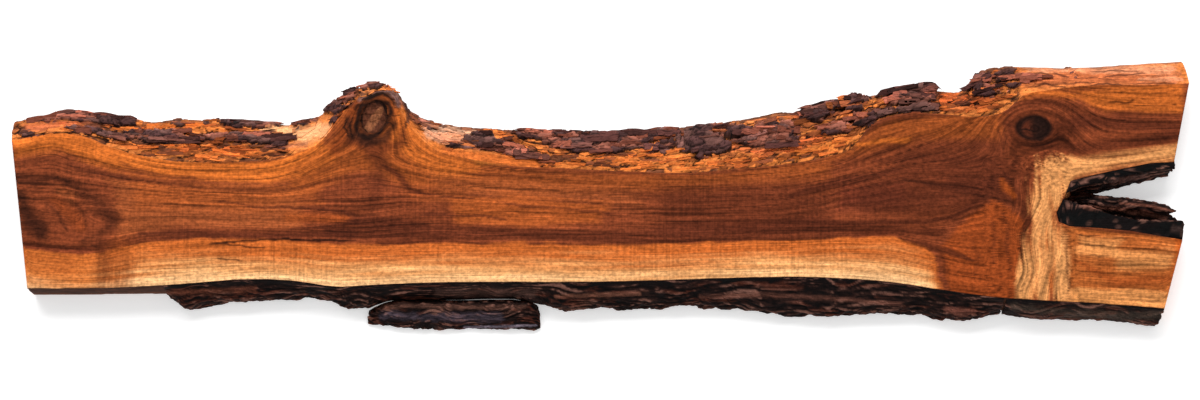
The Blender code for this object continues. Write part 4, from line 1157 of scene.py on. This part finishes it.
# Where the bark has gone, the solid is worn down to this share of its thickness
WORN_TO = 0.42
bark_parts = []
for node in UPPER_BARK:
    solid, points, away = fresh_bark(node, 5)
    outward = np.array([v.normal[:] for v in solid.verts])
    seat = np.array([wood_tree.find_nearest(p)[0][:] for p in points.tolist()])
    colour, height, bark_here, dry, _ = weathered(*seen_places(points))
    front = eased(0.0008, 0.003, away)
    keep = np.where(bark_here, 0.85 + 100 * (height - 0.0016), WORN_TO)
    points = points + (seat - points) * ((1 - keep) * front)[:, None]
    crumb = lumps(points, (70, 190, 190), 43, 2)
    points = points + outward * ((height + 0.0001 * crumb) * front)[:, None]
    made = finished_bark(solid, points, colour, node.replace("bark_", "clinging_bark_"), node, clinging_bark)
    bark_parts.append(carrying(made, bark_here * front * (outward[:, 2] > 0.1), dry))

# Thin chips of dry inner bark, split along the grain, still hang on the weathered edge, and plates and
# scales of the old outer bark lie on the bark that clings. Each kind is strewn along the trunk and
# leans on what carries it, none higher than the skyline.
outer_px, outer_py = seen_places(np.concatenate([part[0] for part in bark_parts]))
outer_px, outer_py = np.append(outer_px, edge_px), np.append(outer_py, edge_py)
TOP_LINE = [(column, outer_py[np.abs(outer_px - column) < 3.5].min()) for column in np.arange(24, 1184, 4.0)]


def flake_tree(finish, cells):
    """Strews flakes over an edge, along the trunk, and joins them into one mesh."""
    tree = bpy.data.node_groups.new("split_flakes", "GeometryNodeTree")
    sockets = tree.interface
    sockets.new_socket(name="Edge", in_out="INPUT", socket_type="NodeSocketGeometry")
    for name in ("Density", "Length", "Width", "Thickness", "Darkest", "Lightest"):
        sockets.new_socket(name=name, in_out="INPUT", socket_type="NodeSocketFloat")
    sockets.new_socket(name="Chips", in_out="OUTPUT", socket_type="NodeSocketGeometry")
    add = adder(tree)

    def kept(name, kind):
        return add("GeometryNodeInputNamedAttribute", {"Name": name}, data_type=kind).outputs["Attribute"]

    def drawn(low, high, seed):
        values = {"Min": low, "Max": high, "Seed": seed}
        return add("FunctionNodeRandomValue", values, data_type="FLOAT_VECTOR").outputs["Value"]

    given = add("NodeGroupInput").outputs
    density = product(add, given["Density"], kept("chip_share", "FLOAT"))
    spread = {"Mesh": given["Edge"], "Density": density, "Seed": 7}
    spread = add("GeometryNodeDistributePointsOnFaces", spread)
    fade = add("ShaderNodeSeparateXYZ", {0: drawn((0.0, 0.0, 0.0), (1.0, 1.0, 1.0), 1)})
    fade = add("ShaderNodeMapRange", {"Value": fade, "To Min": given["Darkest"], "To Max": given["Lightest"]})
    faded = {0: kept("chip_tone", "FLOAT_COLOR"), "Scale": fade}
    faded = add("ShaderNodeVectorMath", faded, operation="SCALE")
    toned = {"Geometry": spread, "Name": "tone", "Value": faded}
    toned = add("GeometryNodeStoreNamedAttribute", toned, data_type="FLOAT_COLOR")
    size = add("ShaderNodeCombineXYZ", {"X": given["Length"], "Y": given["Width"], "Z": given["Thickness"]})
    chip = {"Size": size, "Vertices X": cells[0], "Vertices Y": cells[1], "Vertices Z": 2}
    chip = add("GeometryNodeMeshCube", chip)
    leaning = add("ShaderNodeVectorMath", {0: spread.outputs["Normal"], "Scale": 0.35}, operation="SCALE")
    raised = add("ShaderNodeVectorMath", {0: leaning, 1: (0.0, 0.42, 0.85)}, operation="ADD")
    facing = add("FunctionNodeAlignRotationToVector", {"Vector": raised}, axis="Z")
    along = {"Rotation": facing, "Vector": kept("run", "FLOAT_VECTOR")}
    along = add("FunctionNodeAlignRotationToVector", along, axis="X", pivot_axis="Z")
    tilt = add("FunctionNodeEulerToRotation", {"Euler": drawn((-0.16, -0.05, -0.12), (0.22, 0.05, 0.12), 2)})
    turned = add("FunctionNodeRotateRotation", {"Rotation": along, "Rotate By": tilt}, rotation_space="LOCAL")
    scale = drawn((0.3, 0.45, 0.6), (1.9, 1.7, 1.5), 3)
    placed = {"Points": toned, "Instance": chip, "Rotation": turned, "Scale": scale}
    whole = add("GeometryNodeRealizeInstances", {"Geometry": add("GeometryNodeInstanceOnPoints", placed)})
    rough = {"Vector": add("GeometryNodeInputPosition"), "Scale": 190.0, "Detail": 2.0}
    rough = add("ShaderNodeTexNoise", rough).outputs["Color"]
    centred = add("ShaderNodeVectorMath", {0: rough, 1: (0.5, 0.5, 0.5)}, operation="SUBTRACT")
    shift = add("ShaderNodeVectorMath", {0: centred, 1: (0.013, 0.0060, 0.0024)}, operation="MULTIPLY")
    ragged = add("GeometryNodeSetPosition", {"Geometry": whole, "Offset": shift})
    flat = add("GeometryNodeSetShadeSmooth", {"Geometry": ragged, "Shade Smooth": False})
    add("NodeGroupOutput", {0: add("GeometryNodeSetMaterial", {"Geometry": flat, "Material": finish})})
    return tree


def flaky_bark(cleft_tone):
    """Dry bark with fibres along each flake and clefts of a darker tone."""
    def shade(add, place, rough):
        fibre = stretched_noise(add, place, (110, 620, 620), 4, 0.7)
        cleft = stretched_noise(add, place, (45, 420, 420), 2, 0.5)
        clefts = ranged(add, cleft, 0.36, 0.43, cleft_tone, 1.0)
        both = product(add, ranged(add, fibre, 0.34, 0.66, 0.6, 1.42), clefts)
        return both, both, rough

    return shade


FACE_GAP = 0.0003
SPAN = 9


def scattered(name, finish, nodes, source, cells, sizes):
    """Flakes over the parts of a mesh that carry a share of them, as one plain mesh."""
    vertices, faces, tones, shares = source
    grown = bpy.data.meshes.new(name)
    grown.from_pydata(vertices.tolist(), [], faces.tolist())
    paint(grown, "chip_tone", tones)
    px, _ = seen_places(vertices)
    rise = (line_at(px - SPAN, SKYLINE) - line_at(px + SPAN, SKYLINE)) / (2 * SPAN)
    shares = shares * (1 - 0.8 * eased(0.35, 0.9, np.abs(rise)))
    share = grown.attributes.new(name="chip_share", type="FLOAT", domain="POINT")
    share.data.foreach_set("value", shares)
    note(grown, "run", np.stack([np.ones(len(px)), rise, np.zeros(len(px))], axis=1))
    flakes = stand(name, grown)
    scatter = flakes.modifiers.new("scatter", "NODES")
    scatter.node_group = flake_tree(finish, cells)
    for socket in scatter.node_group.interface.items_tree:
        if socket.name in sizes:
            scatter[socket.identifier] = float(sizes[socket.name])
    bpy.context.view_layer.update()
    graph = bpy.context.evaluated_depsgraph_get()
    plain = bpy.data.meshes.new_from_object(
        flakes.evaluated_get(graph), preserve_all_data_layers=True, depsgraph=graph
    )
    flakes.modifiers.clear()
    flakes.data = plain
    places = read(plain.vertices, "co", 3)
    places[:, 2] = places[:, 2].clip(FLOOR_GAP, THICKNESS - FACE_GAP)
    px, py = seen_places(places)
    places[:, 1] -= STEP_ACROSS * (np.interp(px, *zip(*TOP_LINE)) - 0.3 - py).clip(0)
    plain.vertices.foreach_set("co", places.ravel())
    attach(flakes, "root")
    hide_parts(*nodes)


inner_chips = {
    "Density": 10000, "Length": 0.019, "Width": 0.0035, "Thickness": 0.0010, "Darkest": 0.55,
    "Lightest": 1.15,
}
dry_bark = dressed("dry_inner_bark", "tone", flaky_bark(0.6), 0.8, 0.05, (0.5, 0.0012))
chip_places = carrying(walnut_slab.data, chip_share, chip_tone, EDGE)
scattered("split_chips", dry_bark, ["slab_wood"], chip_places, (4, 3), inner_chips)

starts = np.cumsum([0, *(len(part[0]) for part in bark_parts)])
joined_faces = np.concatenate([part[1] + start for part, start in zip(bark_parts, starts)])
bark_places, _, bark_tones, bark_shares = [np.concatenate(parts) for parts in zip(*bark_parts)]
bark_px, _ = seen_places(bark_places)
off_burl = bark_shares * (1 - eased(300, 318, bark_px) * (1 - eased(400, 412, bark_px)))
plates = {
    "Density": 3600, "Length": 0.028, "Width": 0.0070, "Thickness": 0.0016, "Darkest": 0.25, "Lightest": 1.12,
}
scales = {
    "Density": 3600, "Length": 0.014, "Width": 0.0038, "Thickness": 0.0013, "Darkest": 0.15, "Lightest": 1.2,
}
old_bark = dressed("old_bark_scales", "tone", flaky_bark(0.3), 0.8, 0.05, (0.5, 0.0012))
for name, shares, cells, sizes in (
    ("bark_plates", off_burl, (7, 4), plates),
    ("bark_scales", bark_shares, (4, 3), scales),
):
    source = (bark_places, joined_faces, bark_tones, shares)
    scattered(name, old_bark, UPPER_BARK, source, cells, sizes)

# The slab's lower natural edge and the fork keep their whole bark, furrowed deep along the trunk.
# It grew there, but a plate of it has come off the lower edge and leans on the rest.
# The near black stands for painted shade in the furrows and under the face's rim, and the lit tone is a
# painted highlight on the ridges
bark_shade = dye(15, 9, 9)
bark_body = dye(44, 26, 22)
bark_highlight = dye(118, 80, 68)
bark_rust = dye(88, 42, 28)
# Tints on the bark, as on the bare edge. Most are stains; the pale line along the loose plate's lower rim and
# the lighter lines on the fork's ridge, splinter and lumps are painted highlights
BARK_TINTS = (
    ((120, 80, 66), 0.8, 0.8, ((378, 305, 3), (430, 305, 3), (480, 306, 3), (526, 306, 3))),
    ((92, 80, 92), 0.8, 0.9, ((385, 314, 5), (440, 316, 6), (500, 316, 6))),
    ((150, 136, 150), 1.0, 0.6, ((466, 326, 1.4), (500, 325, 1.6), (537, 324, 1.4))),
    ((170, 110, 90), 0.9, 0.7, ((370, 314, 2), (374, 318, 2))),
    ((92, 66, 58), 0.9, 0.9, ((440, 292, 5), (490, 292, 6), (534, 292, 5))),
    ((150, 96, 76), 0.8, 0.7, ((556, 296, 2), (600, 294, 3), (640, 293, 2))),
    ((122, 76, 62), 0.8, 0.8, ((700, 296, 3), (760, 294, 3), (840, 298, 3), (900, 304, 3))),
    ((150, 90, 74), 0.8, 0.8, ((944, 308, 4), (958, 312, 5), (970, 310, 4))),
    ((84, 70, 60), 0.9, 0.9, ((1010, 306, 5), (1060, 312, 6), (1120, 315, 6), (1168, 314, 6))),
    ((132, 74, 54), 0.8, 0.8, ((170, 292, 3), (220, 290, 4), (258, 288, 4))),
    ((166, 104, 84), 0.95, 0.7, ((1082, 206, 1.6), (1110, 209, 2), (1140, 213, 2.4), (1166, 218, 2))),
    ((140, 84, 66), 0.9, 0.7, ((1120, 203, 1.5), (1150, 206, 2), (1176, 212, 1.5))),
    ((110, 76, 68), 0.9, 0.8, ((1112, 181, 3), (1130, 179, 3), (1148, 176, 3))),
    ((96, 72, 66), 0.9, 0.9, ((1172, 228, 4), (1182, 232, 4))),
)
furrowed_bark = dressed("furrowed_bark", "tone", ridged_bark(1.0), 0.66, 0.06, (0.6, 0.0016))


def shell_of(node):
    """The corners and faces of a CAD solid."""
    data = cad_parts[node].data
    return [v.co[:] for v in data.vertices], [p.vertices[:] for p in data.polygons]


# The furrows are this deep, and so are the blocks between them
FURROW_DEPTH, BLOCK_DEPTH = 0.0046, 0.0018
# Where the loose plate and the edge's bark are this near, each is drawn towards the other
NEAR, DRAWN = (0.005, 0.012), 0.44
LEANING = {"bark_lower_run": shell_of("bark_loose_plate"), "bark_loose_plate": shell_of("bark_lower_run")}
for node in [name for name in barks if name not in UPPER_BARK]:
    solid, points, away = fresh_bark(node, 5 if node in LEANING else 4)
    free = eased(*FREE, away)
    outward = np.array([v.normal[:] for v in solid.verts])
    bent = points + 0.010 * lumps(points, (20, 20, 20), 40)[:, None]
    furrow = np.abs(lumps(bent, (11, 170, 170), 41, 3))
    blocks = lumps(bent, (80, 240, 240), 43, 3)
    relief = FURROW_DEPTH * (np.clip(furrow, 0, 0.6) - 0.22) + BLOCK_DEPTH * blocks
    if node in LEANING:
        other = bvhtree.BVHTree.FromPolygons(*LEANING[node])
        nearest = [other.find_nearest(place) for place in points.tolist()]
        reach = np.array([found[3] for found in nearest])
        close = 1 - eased(*NEAR, reach)
        towards = np.array([found[0][:] for found in nearest]) - points
        relief = relief * (1 - close)
        points = points + towards * (DRAWN * close)[:, None]
    points = points + outward * (relief * free)[:, None]
    # Painted shade: the bark is near black in the furrows' floors and just under the face's rim, and takes
    # painted highlights on the ridges' crests
    height = (eased(0.05, 0.5, furrow + 0.2 * blocks) * eased(0.0, 0.006, THICKNESS - points[:, 2]))[:, None]
    rusty = eased(0.0, 0.5, lumps(points, (14, 60, 60), 45, 2))[:, None]
    painted_highlight = eased(0.42, 0.75, furrow + 0.35 * blocks)[:, None]
    tone = bark_shade * (1 - height) + bark_body * height
    tone = tone * (1 - painted_highlight) + bark_highlight * painted_highlight
    tone = tone * (1 - 0.6 * rusty) + bark_rust * height * 0.6 * rusty
    px, py = seen_places(points)
    for tint, strength, soft, line in BARK_TINTS:
        weight = strength * (1 - eased(1 - soft, 1.15, from_line(px, py, line) + 0.5 * blocks))
        tone = laid(tone, dye(*tint), weight * (0.35 + 0.65 * furrow))
    finished_bark(solid, points, tone, node.replace("bark_", "furrowed_bark_"), node, furrowed_bark)

# The slab lies on a plain pale floor under a large soft light from above its bark side and a weaker
# one from the front.
floor_mesh = bpy.data.meshes.new("floor")
floor_corners = [(x, y, -0.0002) for x, y in ((-8, -8), (8, -8), (8, 8), (-8, 8))]
floor_mesh.from_pydata(floor_corners, [], [(0, 1, 2, 3)])
floor = stand("floor", floor_mesh)
floor_paint, shader, _ = new_material("floor_paint")
filled(floor_paint.node_tree, shader, {
    "Base Color": (0.95, 0.95, 0.95, 1),
    "Roughness": 0.9,
    "Specular IOR Level": 0.0,
    "Emission Color": (1, 1, 1, 1),
    "Emission Strength": 0.35,
})
floor_mesh.materials.append(floor_paint)


def soft_light(name, place, size, power):
    """A large area light that faces the slab."""
    lamp = bpy.data.lights.new(name, "AREA")
    lamp.shape = "RECTANGLE"
    lamp.size, lamp.size_y = size
    lamp.energy = power
    holder = stand(name, lamp)
    holder.location = place
    holder.rotation_mode = "QUATERNION"
    holder.rotation_quaternion = (-Vector(place)).to_track_quat("-Z", "Y")


soft_light("window_light", (-0.5, 2.6, 2.9), (4.5, 1.8), 150)
soft_light("front_light", (0.8, -3.2, 2.6), (4.0, 2.0), 26)
world = bpy.data.worlds.new("studio")
world.use_nodes = True
world.node_tree.nodes["Background"].inputs["Color"].default_value = (1, 1, 1, 1)
world.node_tree.nodes["Background"].inputs["Strength"].default_value = 0.50
bpy.context.scene.world = world
bpy.context.scene.view_settings.view_transform = "Standard"

# The camera stands 3.6 m above the slab and 0.77 m in front of it, and looks down on the face.
camera_data = bpy.data.cameras.new("camera")
camera_data.lens = 70
camera_data.sensor_width = 36
camera = stand("camera", camera_data)
camera.location = (0.0, -0.7727, 3.5936)
camera.rotation_euler = (math.radians(12), 0, 0)
bpy.context.scene.camera = camera
